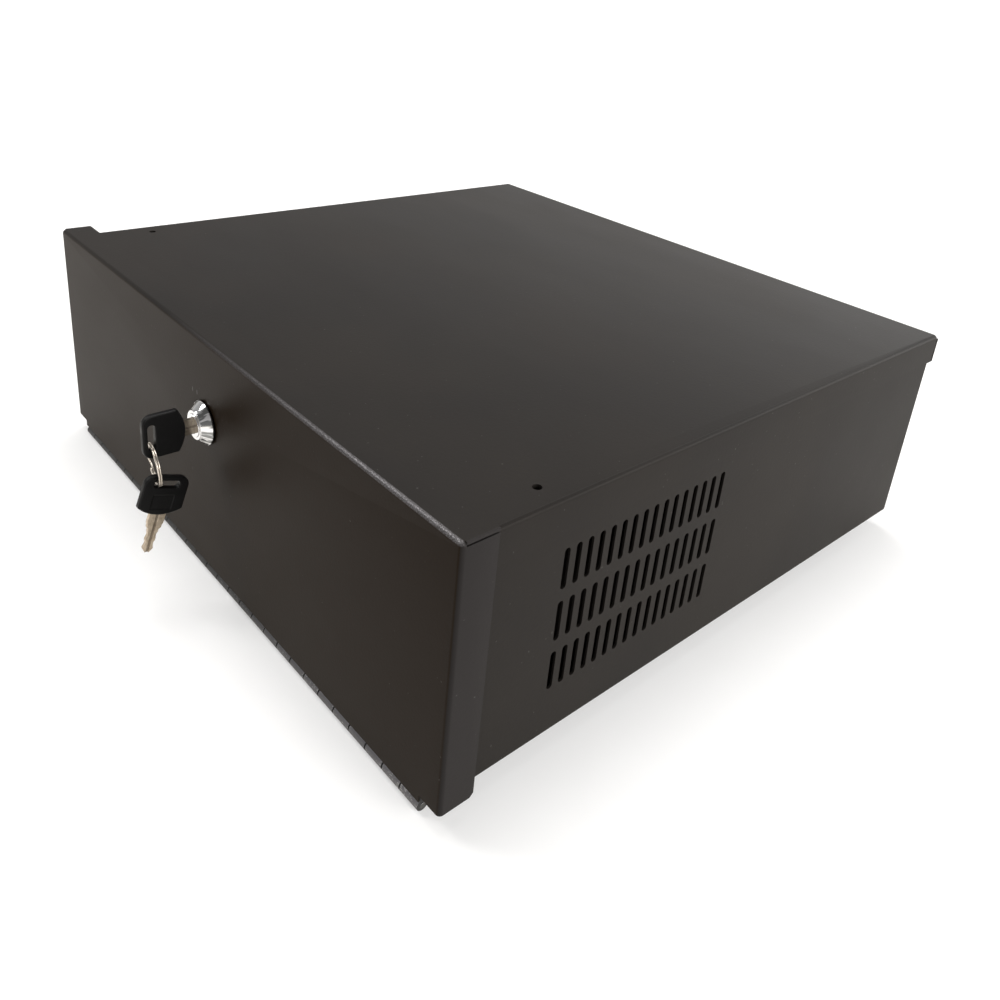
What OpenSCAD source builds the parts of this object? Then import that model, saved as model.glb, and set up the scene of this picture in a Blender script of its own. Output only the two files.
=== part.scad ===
// Lock box: a folded sheet-steel cabinet with a skirted lid and a drop-down front door.
// The door hangs on a continuous hinge along its bottom edge and closes with a cam lock.
// Origin: centre of the four floor holes, on the underside of the floor. +Z up, -Y to the front.

/* [Cabinet] */
// Width of the closed door over its side flanges
door_w = 396; // [300:1:500]
// Height of the door's top above the underside of the floor
door_top = 128.2; // [110:0.1:200]
// Depth of the base tray, from its front sill to its back wall
base_d = 366; // [280:1:480]
// Thickness of every steel sheet
sheet = 1.2; // [1:0.1:2]
// Outer radius of every fold
fold_r = 2.2; // [2:0.1:4]
// Slit left open where two flanges meet at a corner
corner_slit = 0.6; // [0.3:0.1:1.5]

/* [Base tray] */
// Gap between the lid's skirt and the walls of the base tray
lid_gap = 0.6; // [0.4:0.1:3]
// Height of the sill along the front of the floor
sill_h = 16; // [14:0.5:24]
// Width of the lips folded inwards along the top of the side walls
top_lip = 14; // [10:0.5:20]
// Width of the returns folded inwards at the front of the side walls
front_return = 10; // [6:0.5:14]

/* [Side vents] */
// Width of one vent slot
vent_w = 3.2; // [2:0.1:4]
// Length of one vent slot
vent_l = 20; // [12:0.5:24]
// Slots in one row
vent_cols = 16; // [4:1:20]
// Rows of slots
vent_rows = 3; // [1:1:3]
// Spacing from slot to slot
vent_pitch = 6.9; // [5:0.1:8]
// Spacing from row to row
vent_row_pitch = 26.1; // [24.5:0.1:30]
// Height of the middle row above the underside of the floor
vent_mid = 62.4; // [56:0.1:64]
// Distance from the front edge of the wall to the first slot
vent_first = 57; // [30:0.1:80]

/* [Lid] */
// Height of the lid's skirt
lid_skirt = 17; // [12:0.5:24]
// Diameter of the two small holes in the lid
lid_hole_d = 4.2; // [3:0.1:6]
// Distance of the two small holes from the lid's sides
lid_hole_inset = 12.5; // [8:0.5:14]
// Distance of the two small holes behind the lid's front edge
lid_hole_back = 46.3; // [20:0.1:90]

/* [Door] */
// Gap between the door's flanges and the lid
door_gap = 2.3; // [1:0.1:3]
// Slit between the door's top flange and its side flanges
door_slit = 0.8; // [0.3:0.1:1.5]
// Depth of the door's flanges, from its front face
door_skirt = 17.4; // [12:0.1:24]
// How far the side flanges reach below the underside of the floor
door_drop = 0.3; // [0:0.1:2]
// How far the front sheet reaches below the underside of the floor along the hinge
tongue_drop = 3.9; // [2.5:0.1:4.1]
// Chamfer at the rear lower corner of each side flange
skirt_chamfer = 1.8; // [1:0.1:5]

/* [Hinge] */
// Knuckles along the hinge; an odd number, so both ends belong to the door
knuckles = 29; // [21:2:29]
// Spacing from knuckle to knuckle
knuckle_pitch = 12.75; // [9:0.05:12.9]
// Outer diameter of a knuckle
knuckle_d = 5.5; // [5:0.1:6]
// Diameter of the hinge pin
hinge_pin_d = 3; // [2.6:0.1:3.2]
// Radial play between pin and knuckle
pin_play = 0.05; // [0.02:0.01:0.1]
// End gap between two knuckles
knuckle_gap = 0.5; // [0.2:0.05:0.6]
// Thickness of a hinge leaf
leaf_t = 1.2; // [1:0.1:1.2]
// Gap between the two leaves when the door is closed
leaf_gap = 0.5; // [0.3:0.1:0.6]
// Width of a leaf from the centre of the pin
leaf_w = 18.5; // [16:0.5:20]
// Distance of the pin below the underside of the floor
pin_drop = 7.7; // [7.2:0.1:8]
// Clearance between a knuckle and the window that it turns in
window_play = 0.5; // [0.3:0.1:0.8]

/* [Floor holes and feet] */
// Diameter of a floor mounting hole
floor_hole_d = 6.5; // [4:0.1:9]
// Spacing of the floor mounting holes across the box
floor_hole_x = 290; // [200:1:300]
// Spacing of the floor mounting holes from front to back
floor_hole_y = 250; // [180:1:270]
// Inset of each foot's centre from the sides of the base tray
foot_inset_x = 38; // [24:0.5:46]
// Inset of each foot's centre from the front and back of the base tray
foot_inset_y = 26; // [22:0.5:34]
// Height of a rubber foot
foot_h = 11; // [11:0.5:20]
// Diameter of a foot at the top
foot_top_d = 20; // [16:0.5:24]
// Diameter of a foot at the bottom
foot_low_d = 17; // [15:0.5:20]
// Thread diameter of a foot screw
foot_screw_d = 4; // [3:0.5:5]
// Radial play of a foot screw in the floor and in the foot
foot_screw_play = 0.25; // [0.1:0.05:0.4]
// Diameter of a foot screw's head
foot_head_d = 7.8; // [6:0.1:8.6]
// Height of a foot screw's head
foot_head_h = 2.4; // [1.8:0.1:3]
// Radial clearance round a foot screw's head
foot_pocket_play = 0.6; // [0.3:0.1:1]
// Width of a foot nut across its flats
foot_nut_af = 7; // [6.5:0.1:9]
// Thickness of a foot nut
foot_nut_t = 3.2; // [2.4:0.1:4]
// How far a foot screw stands out of its nut
foot_screw_end = 1; // [0.5:0.1:3]
// Width of the cross slots in the screws' heads
recess_w = 0.8; // [0.6:0.1:1]

/* [Cable entries] */
// Diameter of the hole punched in the back wall
entry_hole_d = 38; // [30:0.5:44]
// Diameter of the opening through a grommet
entry_bore_d = 28; // [20:0.5:30]
// Spacing of the two cable entries
entry_span = 240; // [120:1:260]
// Height of the cable entries above the underside of the floor
entry_z = 46; // [40:0.5:60]
// Width of the rim of a grommet
grommet_rim = 4; // [2:0.5:6]
// Thickness of the rim of a grommet
grommet_rim_t = 2.5; // [1.5:0.1:4]
// Bevel along the edge of the rim
grommet_bevel = 1; // [0.3:0.1:1.2]

/* [Cam lock] */
// Height of the lock's axis above the underside of the floor
lock_z = 83.5; // [78:0.5:88]
// Diameter of the lock's head
head_d = 23; // [22:0.5:26]
// Height of the lock's head in front of the door
head_h = 6; // [4:0.5:8]
// Diameter of the flat front face of the head
head_face_d = 15.4; // [14.5:0.1:18]
// Thickness of the straight rim of the head
head_rim = 1; // [0.6:0.1:2]
// Bevel round the flat front face of the head
head_bevel = 0.4; // [0.2:0.1:0.8]
// Diameter of the threaded body
body_d = 19; // [18:0.5:20]
// Width of the body across its two flats
body_flats = 16.6; // [15.5:0.1:17.5]
// Length of the body behind the door's front face
body_l = 12.5; // [12:0.5:14]
// Play of the body in the hole of the door
body_play = 0.2; // [0.1:0.05:0.4]
// Diameter of the turning plug at its front
plug_d = 12; // [11.6:0.1:12.6]
// Length of that wider front, which keeps the plug from being pushed through
plug_front_l = 2.5; // [1.5:0.1:4]
// Diameter of the rest of the plug
plug_neck_d = 11; // [10.8:0.1:11.2]
// Radial play between the plug and the body
plug_play = 0.05; // [0.02:0.01:0.1]
// How far the plug's face stands in front of the head
plug_proud = 0.4; // [0.2:0.1:1]
// Side of the square at the plug's rear end
plug_square = 7; // [6:0.1:7.6]
// Thickness of the lock nut
nut_t = 3.4; // [2.5:0.1:3.8]
// Width of the lock nut across its flats
nut_af = 24; // [23:0.5:26]
// Thickness of the toothed washer under the lock nut
washer_t = 0.8; // [0.5:0.1:1.2]
// Outer diameter of the toothed washer
washer_d = 25; // [23:0.5:28]
// Teeth round the washer
washer_teeth = 20; // [12:1:24]
// Depth of the gap between two teeth
tooth_depth = 1.2; // [0.6:0.1:1.4]
// Width of the gap between two teeth
tooth_gap = 1.2; // [0.8:0.1:1.6]

/* [Cam] */
// Thickness of the cam
cam_t = 2; // [1.5:0.1:2.5]
// Width of the cam
cam_w = 14; // [12:0.5:16]
// Length of the cam, from the lock's axis to its tip
cam_l = 32; // [29:0.5:33]
// Height over the axis at which the cam starts to crank forwards
cam_crank_at = 11; // [10:0.5:14]
// Length of the cranked stretch
cam_crank_l = 8; // [6:0.5:10]
// Play between the cam's tip and the lip that it catches
catch_gap = 1; // [0.8:0.1:1.2]
// Thickness of the stop disc
disc_t = 1; // [0.8:0.1:1.5]
// Diameter of the stop disc
disc_d = 17; // [16:0.5:18]
// Web of the disc left between its square hole and its open sector
disc_web = 1.1; // [0.6:0.1:1.2]
// Running clearance between the body and the stop disc
disc_play = 0.15; // [0.1:0.05:0.3]
// Diameter of the stop peg on the rear of the body
peg_d = 1.6; // [1.2:0.1:2]
// Clearance between the end of the peg and the cam
peg_end_play = 0.3; // [0.2:0.1:0.5]
// Play between the peg and the ends of the disc's open sector, in degrees
stop_play = 2; // [1:0.5:4]
// Turn of the key from open, as drawn, to locked, in degrees
lock_turn = 90; // [60:5:120]
// Thread diameter of the cam screw
cam_screw_d = 5; // [4:0.5:5]
// Wall left between the keyway and the cam screw's hole
cam_screw_web = 0.5; // [0.4:0.1:1]
// Diameter of the cam screw's head
cam_head_d = 10; // [8:0.5:12]
// Height of the cam screw's head
cam_head_h = 2.6; // [2:0.1:4]
// Bevel of the cam screw's head
cam_head_bevel = 0.8; // [0.3:0.1:1]

/* [Keys] */
// Length of the moulded bow along the key
bow_l = 21; // [19:0.5:26]
// Height of the bow across the key
bow_h = 23; // [20:0.5:28]
// Thickness of the bow
bow_t = 3.4; // [3:0.1:5]
// Radius of the bow's outer corners
bow_r = 5; // [2:0.1:5.5]
// Radius of the bow's bulging inner end
bow_nose_r = 20; // [16:0.5:40]
// Length of the slot in the bow
eye_l = 13.4; // [10:0.1:15]
// Width of the slot in the bow
eye_w = 3.8; // [3.2:0.1:5]
// Distance of the slot's middle from the bow's outer end
eye_edge = 4.3; // [3.8:0.1:6]
// Depth of the plain panel sunk in each face of the bow
panel_sink = 0.3; // [0.1:0.1:0.4]
// Border of the bow round the plain panel
panel_border = 1.5; // [1:0.1:2.5]
// Step along the edge of the bow
bow_edge = 0.5; // [0.3:0.1:0.8]
// Plastic left between the slot and the end of the blade's tang
tang_web = 2.4; // [1.5:0.1:4]
// Length of the blade in front of the bow
blade_l = 21; // [19:0.5:21.5]
// Height of the blade
blade_h = 8.4; // [7:0.1:8.6]
// Thickness of the blade
blade_t = 2; // [1.6:0.1:2.4]
// Play of the blade in the keyway
key_play = 0.3; // [0.2:0.05:0.5]
// Distance from the lock's head to the bow of the inserted key
key_stand_off = 4.8; // [4:0.1:8]
// Depths of the cuts, from the shoulder to the tip
key_cuts = [0.5, 1.5, 2, 1.7, 2.2]; // [0:0.1:2.4]
// Distance from the bow to the first cut
cut_first = 6.5; // [5:0.1:8]
// Spacing of the cuts
cut_pitch = 2.4; // [2:0.1:2.5]
// Flat length at the bottom of a cut
cut_flat = 1; // [0.6:0.1:1.2]
// Height of the blade's blunt tip
tip_h = 2.2; // [1.6:0.1:3.2]
// Length of the tapered end of the blade
tip_l = 2.2; // [1.4:0.1:2.4]
// Width of the groove along each face of the blade
groove_w = 1.4; // [0.8:0.1:2]
// Depth of that groove
groove_sink = 0.45; // [0.2:0.05:0.5]

/* [Key ring] */
// Radius of the ring, to the middle of its wire
ring_r = 10.3; // [9.5:0.1:13]
// Diameter of the ring's wire
ring_wire = 1.8; // [1.2:0.1:2.2]
// Play between the wire and the slot it hangs in
ring_play = 0.4; // [0.35:0.05:0.6]
// Turn of the ring about the vertical, in degrees
ring_yaw = -8; // [-15:1:15]
// Lean of the hanging key, in degrees
spare_lean = 19; // [0:1:25]
// Lean of the ring towards the door, in degrees
ring_lean = 5; // [0:1:8]

/* [Hidden] */
$fn = 48;
// Overshoot of a cutter beyond the face that it opens
over = 1;
// Small clearance between pieces that are joined at a face
fit = 0.05;

lid_w = door_w - 2 * (sheet + door_gap);
lid_top = door_top - sheet - door_gap;
base_w = lid_w - 2 * (sheet + lid_gap);
base_top = lid_top - sheet;
base_front = -base_d / 2;
base_back = base_d / 2;
lid_back = base_back + lid_gap + sheet;
lid_lip_low = lid_top - lid_skirt;
lid_hole_x = lid_w / 2 - lid_hole_inset;
door_low = -door_drop;

// The closed hinge fills the space between the sill and the door's front sheet
hinge_y = base_front - leaf_t - leaf_gap / 2;
hinge_z = -pin_drop;
door_inner = base_front - 2 * leaf_t - leaf_gap;
door_front = door_inner - sheet;
hinge_len = knuckles * knuckle_pitch;
bore_r = hinge_pin_d / 2 + pin_play;
leaf_relief = knuckle_d / 2 + window_play;

// Lock stack, from the door's front face backwards
head_front = door_front - head_h;
body_back = door_front + body_l;
disc_front = body_back + disc_play;
disc_back = disc_front + disc_t;
cam_back = disc_back + cam_t;
cam_crank = disc_back - (base_front + sheet) - catch_gap;
thread_bore_r = body_d / 2 + fit;
keyway_end = head_front + blade_l - key_stand_off + key_play;
cam_screw_l = cam_back - keyway_end - cam_screw_web;
peg_at = body_d / 2 - peg_d;
hub_r = plug_square / sqrt(2) + disc_web;

// Keys
key_y = head_front - key_stand_off;
eye_x = eye_edge - bow_l;
eye_end = (eye_l - eye_w) / 2;
wire_seat = eye_w / 2 - ring_wire / 2 - ring_play;
tang_l = bow_l - eye_edge - eye_w / 2 - tang_web;
ring_y = key_y + eye_x;
ring_top_z = lock_z - eye_end - wire_seat;
ring_low_y = ring_y + 2 * ring_r * sin(ring_lean);
ring_low_z = ring_top_z - 2 * ring_r * cos(ring_lean);

// Feet
foot_hole_r = foot_screw_d / 2 + foot_screw_play;
foot_x = base_w / 2 - foot_inset_x;
foot_y = base_d / 2 - foot_inset_y;
foot_pocket_r = foot_head_d / 2 + foot_pocket_play;
foot_pocket_h = foot_h / 2;

steel_black = [0.15, 0.148, 0.147];
steel_bare = [0.62, 0.61, 0.58];
chrome = [0.82, 0.83, 0.84];
zinc = [0.7, 0.7, 0.66];
rubber_black = [0.07, 0.07, 0.07];
plastic_black = [0.06, 0.06, 0.065];
nickel_silver = [0.72, 0.66, 0.58];

// Rectangle with rounded corners, centred
module rounded_rect(w, h, r) {
    square([w - 2 * r, h], center = true);
    square([w, h - 2 * r], center = true);
    for (x = [-1, 1], y = [-1, 1])
        translate([x * (w / 2 - r), y * (h / 2 - r)]) circle(r);
}

// Slot outline with round ends, centred, long side along Y
module slot_2d(l, w) {
    square([w, l - w], center = true);
    for (s = [-1, 1]) translate([0, s * (l - w) / 2]) circle(w / 2);
}

// Section of a folded sheet: two legs from one outer corner at the origin
module angle_2d(a, b) {
    translate([fold_r, 0]) square([a - fold_r, sheet]);
    translate([0, fold_r]) square([sheet, b - fold_r]);
    intersection() {
        square(fold_r);
        translate([fold_r, fold_r]) difference() {
            circle(fold_r);
            circle(fold_r - sheet);
        }
    }
}

// Only the rounded fold of such a section, for edges whose legs are cut separately
module fold_2d() {
    intersection() {
        square(fold_r);
        translate([fold_r, fold_r]) difference() {
            circle(fold_r);
            circle(fold_r - sheet);
        }
    }
}

// Extrudes a section drawn in X and Y along the world's X axis, its X becoming Y and its Y becoming Z
module along_x(l) {
    rotate([90, 0, 90]) translate([0, 0, -l / 2]) linear_extrude(l) children();
}

// Extrudes an outline drawn in X and Z backwards along +Y from the plane y
module back_from(y, l) {
    translate([0, y + l, 0]) rotate([90, 0, 0]) linear_extrude(l) children();
}

// Turns what is drawn along +Z so that it runs backwards along +Y from the lock's axis
module on_lock_axis(y) {
    translate([0, y, lock_z]) rotate([-90, 0, 0]) children();
}

// Turns what is drawn with the cam upright back to the open lock
module opened() {
    translate([0, 0, lock_z]) rotate([0, -lock_turn, 0]) translate([0, 0, -lock_z]) children();
}

module foot_places() {
    for (x = [-1, 1], y = [-1, 1]) translate([x * foot_x, y * foot_y, 0]) children();
}

// Vent slots of one side wall, cut along X
module vent_slots() {
    for (c = [0 : vent_cols - 1], r = [0 : vent_rows - 1])
        translate([0, base_front + vent_first + c * vent_pitch,
            vent_mid + (r - (vent_rows - 1) / 2) * vent_row_pitch])
            rotate([90, 0, 90]) translate([0, 0, -base_w / 2 - over])
                linear_extrude(base_w + 2 * over) slot_2d(vent_l, vent_w);
}

module base_tray() {
    // Floor, side walls and top lips share one folded section
    color(steel_black) difference() {
        union() {
            back_from(base_front + fold_r, base_d - fold_r) difference() {
                translate([0, base_top / 2]) rounded_rect(base_w, base_top, fold_r);
                translate([0, base_top / 2])
                    rounded_rect(base_w - 2 * sheet, base_top - 2 * sheet, fold_r - sheet);
                translate([0, base_top]) square([base_w - 2 * top_lip, 4 * sheet], center = true);
            }
            // Sill
            translate([0, base_front, 0]) along_x(base_w - 2 * fold_r) angle_2d(2 * fold_r, sill_h);
            // Returns at the front of the side walls
            for (s = [0, 1]) mirror([s, 0, 0])
                translate([-base_w / 2, base_front, fold_r])
                    linear_extrude(lid_lip_low - corner_slit - fold_r)
                        angle_2d(front_return, 2 * fold_r);
        }
        vent_slots();
        // Rear ends of the top lips, cut clear of the lid's rear fold
        translate([-base_w / 2, lid_back - fold_r, base_top - fold_r])
            cube([base_w, fold_r, fold_r + over]);
        for (x = [-1, 1], y = [-1, 1])
            translate([x * floor_hole_x / 2, y * floor_hole_y / 2, -over])
                cylinder(d = floor_hole_d, h = sheet + 2 * over);
        foot_places() translate([0, 0, -over]) cylinder(r = foot_hole_r, h = sheet + 2 * over);
        for (x = [-1, 1])
            translate([x * lid_hole_x, base_front + lid_hole_back, base_top - 2 * sheet])
                cylinder(d = lid_hole_d, h = 4 * sheet);
    }
}

module back_panel() {
    inner_w = base_w - 2 * sheet;
    color(steel_black) difference() {
        union() {
            // Wall
            back_from(base_back - sheet, sheet) translate([0, (sheet + base_top) / 2])
                square([inner_w - 2 * fold_r, base_top - sheet - 2 * fold_r], center = true);
            // Flanges on the floor, on the side walls and under the lid
            translate([0, base_back, sheet]) along_x(inner_w - 2 * fold_r)
                mirror([1, 0]) angle_2d(front_return, 2 * fold_r);
            translate([0, base_back, base_top]) along_x(base_w - 2 * top_lip - 2 * corner_slit)
                mirror([1, 0]) mirror([0, 1]) angle_2d(front_return, 2 * fold_r);
            for (s = [-1, 1]) translate([s * inner_w / 2, base_back, sheet + fold_r + corner_slit])
                linear_extrude(base_top - sheet - 2 * fold_r - 2 * corner_slit)
                    mirror([s > 0 ? 1 : 0, 0]) mirror([0, 1]) angle_2d(2 * fold_r, front_return);
        }
        for (x = [-1, 1])
            back_from(base_back - sheet - over, sheet + 2 * over)
                translate([x * entry_span / 2, entry_z]) circle(d = entry_hole_d);
    }
}

module top_cover() {
    flat_back = lid_back - fold_r;
    flat_front = base_front + fold_r;
    lip_w = base_w - 2 * sheet - 2 * corner_slit;
    color(steel_black) difference() {
        union() {
            translate([-lid_w / 2 + fold_r, flat_front, lid_top - sheet])
                cube([lid_w - 2 * fold_r, flat_back - flat_front, sheet]);
            // Skirts left and right
            for (s = [-1, 1]) {
                translate([s * lid_w / 2, flat_back, lid_top]) rotate([90, 0, 0])
                    linear_extrude(flat_back - base_front)
                        mirror([s > 0 ? 1 : 0, 0]) mirror([0, 1]) angle_2d(2 * fold_r, lid_skirt);
                translate([s > 0 ? lid_w / 2 - sheet : -lid_w / 2, flat_back - over, lid_lip_low])
                    cube([sheet, fold_r - sheet - corner_slit + over, lid_skirt - fold_r]);
            }
            // Skirt at the back
            translate([0, lid_back, lid_top]) along_x(lid_w - 2 * fold_r)
                mirror([1, 0]) mirror([0, 1]) angle_2d(2 * fold_r, lid_skirt);
            translate([-lid_w / 2, lid_back - sheet, lid_lip_low])
                cube([lid_w, sheet, lid_skirt - fold_r]);
            // Lip at the front, which the cam catches
            translate([0, base_front, lid_top]) along_x(lip_w)
                mirror([0, 1]) angle_2d(2 * fold_r, lid_skirt);
            translate([-lid_w / 2, base_front + sheet, lid_top - sheet])
                cube([lid_w, fold_r, sheet]);
        }
        for (x = [-1, 1])
            translate([x * lid_hole_x, base_front + lid_hole_back, lid_top - sheet - over])
                cylinder(d = lid_hole_d, h = sheet + 2 * over);
    }
}

module door_panel() {
    flat_w = door_w - 2 * fold_r;
    skirt_top = door_top - sheet - door_slit;
    color(steel_black) difference() {
        union() {
            // Front sheet, with the tongue that runs down to the hinge
            back_from(door_front, sheet) {
                translate([-flat_w / 2, door_low]) square([flat_w, door_top - fold_r - door_low]);
                translate([-hinge_len / 2, -tongue_drop])
                    square([hinge_len, door_low + tongue_drop + over]);
            }
            // Top flange
            translate([0, door_front, door_top]) along_x(flat_w)
                mirror([0, 1]) angle_2d(door_skirt, 2 * fold_r);
            translate([-door_w / 2, door_front + fold_r, door_top - sheet])
                cube([door_w, door_skirt - fold_r, sheet]);
            // Rounded upper corners, where the top fold runs into the side folds
            for (s = [-1, 1])
                translate([s * flat_w / 2, door_front + fold_r, door_top - fold_r]) intersection() {
                    difference() {
                        sphere(fold_r);
                        sphere(fold_r - sheet);
                    }
                    translate([s > 0 ? 0 : -fold_r, -fold_r, 0]) cube(fold_r);
                }
            // Side flanges: the fold, and the flat with its chamfered lower corner
            for (s = [-1, 1]) {
                translate([s * door_w / 2, door_front, door_low])
                    linear_extrude(door_top - fold_r - door_low)
                        mirror([s > 0 ? 1 : 0, 0]) fold_2d();
                translate([s > 0 ? door_w / 2 - sheet : -door_w / 2, door_front, 0])
                    rotate([90, 0, 90]) linear_extrude(sheet) polygon([
                        [fold_r, door_low],
                        [door_skirt - skirt_chamfer, door_low],
                        [door_skirt, door_low + skirt_chamfer],
                        [door_skirt, skirt_top],
                        [fold_r, skirt_top]]);
            }
        }
        lock_hole();
    }
}

// Round hole with two flats, which keeps the lock body from turning
module lock_hole() {
    back_from(door_front - over, sheet + 2 * over) translate([0, lock_z]) intersection() {
        circle(d = body_d + 2 * body_play);
        square([body_flats + 2 * body_play, 2 * body_d], center = true);
    }
}

// One leaf with its knuckles; first is 0 for the leaf that owns the end knuckles, else 1.
// y is the leaf's front face.
module hinge_leaf(y, first) {
    start = -hinge_len / 2;
    difference() {
        union() {
            translate([start + knuckle_gap / 2, y, hinge_z])
                cube([hinge_len - knuckle_gap, leaf_t, leaf_w]);
            for (i = [first : 2 : knuckles - 1])
                translate([start + i * knuckle_pitch + knuckle_gap / 2, hinge_y, hinge_z])
                    rotate([0, 90, 0]) cylinder(d = knuckle_d, h = knuckle_pitch - knuckle_gap);
        }
        // Windows for the other leaf's knuckles
        for (i = [1 - first : 2 : knuckles - 1])
            translate([start + i * knuckle_pitch - knuckle_gap / 2, y - over, hinge_z - over])
                cube([knuckle_pitch + knuckle_gap, leaf_t + 2 * over, leaf_relief + over]);
        translate([start - over, hinge_y, hinge_z]) rotate([0, 90, 0])
            cylinder(r = bore_r, h = hinge_len + 2 * over);
    }
}

module door_hinge_leaf() {
    color(steel_black) hinge_leaf(door_inner, 0);
}

module body_hinge_leaf() {
    color(steel_black) hinge_leaf(base_front - leaf_t, 1);
}

module hinge_pin() {
    color(steel_bare) translate([-hinge_len / 2, hinge_y, hinge_z]) rotate([0, 90, 0])
        cylinder(d = hinge_pin_d, h = hinge_len);
}

module lock_housing() {
    color(chrome) difference() {
        union() {
            // Head: a straight rim, a cone and a flat face with a small bevel
            on_lock_axis(door_front) rotate_extrude() polygon([
                [0, 0], [head_d / 2, 0], [head_d / 2, -head_rim],
                [head_face_d / 2, head_bevel - head_h], [head_face_d / 2 - head_bevel, -head_h],
                [0, -head_h]]);
            // Threaded body with two flats
            on_lock_axis(door_front) linear_extrude(body_l) intersection() {
                circle(d = body_d);
                square([body_flats, 2 * body_d], center = true);
            }
            // Peg that the stop disc runs against
            on_lock_axis(body_back) rotate(-lock_turn / 2) translate([0, -peg_at, 0])
                cylinder(d = peg_d, h = disc_play + disc_t - peg_end_play);
        }
        // Stepped bore for the plug
        on_lock_axis(head_front - over) cylinder(r = plug_d / 2 + plug_play, h = plug_front_l + over);
        on_lock_axis(head_front) cylinder(r = plug_neck_d / 2 + plug_play, h = head_h + body_l + over);
    }
}

// Half of the disc's open sector: half the turn, half of what the peg covers, and play, in degrees
function stop_half() = lock_turn / 2 + asin(peg_d / 2 / peg_at) + stop_play;

module lock_washer() {
    color(zinc) on_lock_axis(door_inner) linear_extrude(washer_t) difference() {
        circle(d = washer_d);
        circle(r = thread_bore_r);
        for (i = [0 : washer_teeth - 1]) rotate(i * 360 / washer_teeth)
            translate([washer_d / 2, 0]) square([2 * tooth_depth, tooth_gap], center = true);
    }
}

module lock_nut() {
    color(zinc) on_lock_axis(door_inner + washer_t) difference() {
        cylinder(d = nut_af / cos(30), h = nut_t, $fn = 6);
        translate([0, 0, -over]) cylinder(r = thread_bore_r, h = nut_t + 2 * over);
    }
}

module lock_plug() {
    way_h = blade_h + 2 * key_play;
    way_w = blade_t + 2 * key_play;
    plug_front = head_front - plug_proud;
    color(chrome) difference() {
        union() {
            on_lock_axis(plug_front) cylinder(d = plug_d, h = plug_front_l - plug_play + plug_proud);
            on_lock_axis(head_front) cylinder(d = plug_neck_d, h = disc_front - head_front);
            // Square end that carries the disc and the cam
            opened() on_lock_axis(disc_front) translate([0, 0, (disc_t + cam_t - over) / 2])
                cube([plug_square, plug_square, disc_t + cam_t + over], center = true);
        }
        // Keyway
        on_lock_axis(plug_front - over) translate([-way_w / 2, -way_h / 2, 0])
            cube([way_w, way_h, keyway_end - plug_front + over]);
        // Threaded hole for the cam screw
        on_lock_axis(cam_back - cam_screw_l)
            cylinder(r = cam_screw_d / 2 + fit, h = cam_screw_l + over);
    }
}

module stop_disc() {
    half = stop_half();
    color(zinc) opened() on_lock_axis(disc_front) linear_extrude(disc_t) difference() {
        circle(d = disc_d);
        square(plug_square + 2 * fit, center = true);
        // Open sector for the peg
        difference() {
            polygon([
                [0, 0],
                [-disc_d * sin(half), -disc_d * cos(half)],
                [-disc_d * sin(half / 2), -disc_d * cos(half / 2)],
                [0, -disc_d],
                [disc_d * sin(half / 2), -disc_d * cos(half / 2)],
                [disc_d * sin(half), -disc_d * cos(half)]]);
            circle(r = hub_r);
        }
    }
}

module lock_cam() {
    color(zinc) opened() difference() {
        intersection() {
            // Side view with the crank, then front view with the rounded ends
            translate([0, disc_back, lock_z]) along_x(cam_w) polygon([
                [0, -cam_w / 2], [cam_t, -cam_w / 2], [cam_t, cam_crank_at],
                [cam_t - cam_crank, cam_crank_at + cam_crank_l], [cam_t - cam_crank, cam_l],
                [-cam_crank, cam_l], [-cam_crank, cam_crank_at + cam_crank_l], [0, cam_crank_at]]);
            back_from(disc_back - cam_crank - over, cam_crank + cam_t + 2 * over)
                translate([0, lock_z]) {
                    circle(d = cam_w);
                    translate([-cam_w / 2, 0]) square([cam_w, cam_l - cam_w / 4]);
                    translate([-cam_w / 4, 0]) square([cam_w / 2, cam_l]);
                    for (s = [-1, 1]) translate([s * cam_w / 4, cam_l - cam_w / 4]) circle(cam_w / 4);
                }
        }
        on_lock_axis(disc_back - over) translate([0, 0, cam_t / 2 + over])
            cube([plug_square + 2 * fit, plug_square + 2 * fit, cam_t + 2 * over], center = true);
    }
}

module cam_screw() {
    color(zinc) {
        on_lock_axis(cam_back - cam_screw_l + fit) cylinder(d = cam_screw_d, h = cam_screw_l);
        on_lock_axis(cam_back) difference() {
            rotate_extrude() polygon([
                [0, 0], [cam_head_d / 2, 0], [cam_head_d / 2, cam_head_h - cam_head_bevel],
                [cam_head_d / 2 - cam_head_bevel, cam_head_h], [0, cam_head_h]]);
            for (a = [0, 90]) rotate(a) translate([0, 0, cam_head_h])
                cube([cam_head_d / 2, recess_w, cam_head_h], center = true);
        }
    }
}

// Outline of the bow: round outer corners and a bulging inner end at the origin
module bow_2d(inset) {
    intersection() {
        translate([bow_r - bow_l / 2, 0])
            rounded_rect(bow_l + 2 * bow_r - 2 * inset, bow_h - 2 * inset, bow_r);
        translate([-bow_nose_r, 0]) circle(bow_nose_r - inset, $fn = 96);
    }
}

// A key lies along X: the bow behind the origin, the blade in front of it
module key_bow_shape() {
    difference() {
        union() {
            translate([0, 0, bow_edge - bow_t / 2]) linear_extrude(bow_t - 2 * bow_edge) bow_2d(0);
            translate([0, 0, -bow_t / 2]) linear_extrude(bow_t) bow_2d(bow_edge);
        }
        // Slot for the ring
        translate([eye_x, 0, -bow_t]) linear_extrude(2 * bow_t) slot_2d(eye_l, eye_w);
        // Plain sunk panels
        for (s = [-1, 1]) translate([-tang_l / 2 - panel_border, 0, s * bow_t / 2])
            cube([tang_l - 2 * panel_border, eye_l - panel_border, 2 * panel_sink], center = true);
        // Seat of the blade's tang
        translate([-tang_l, -blade_h / 2, -blade_t / 2]) cube([tang_l + over, blade_h, blade_t]);
    }
}

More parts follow.
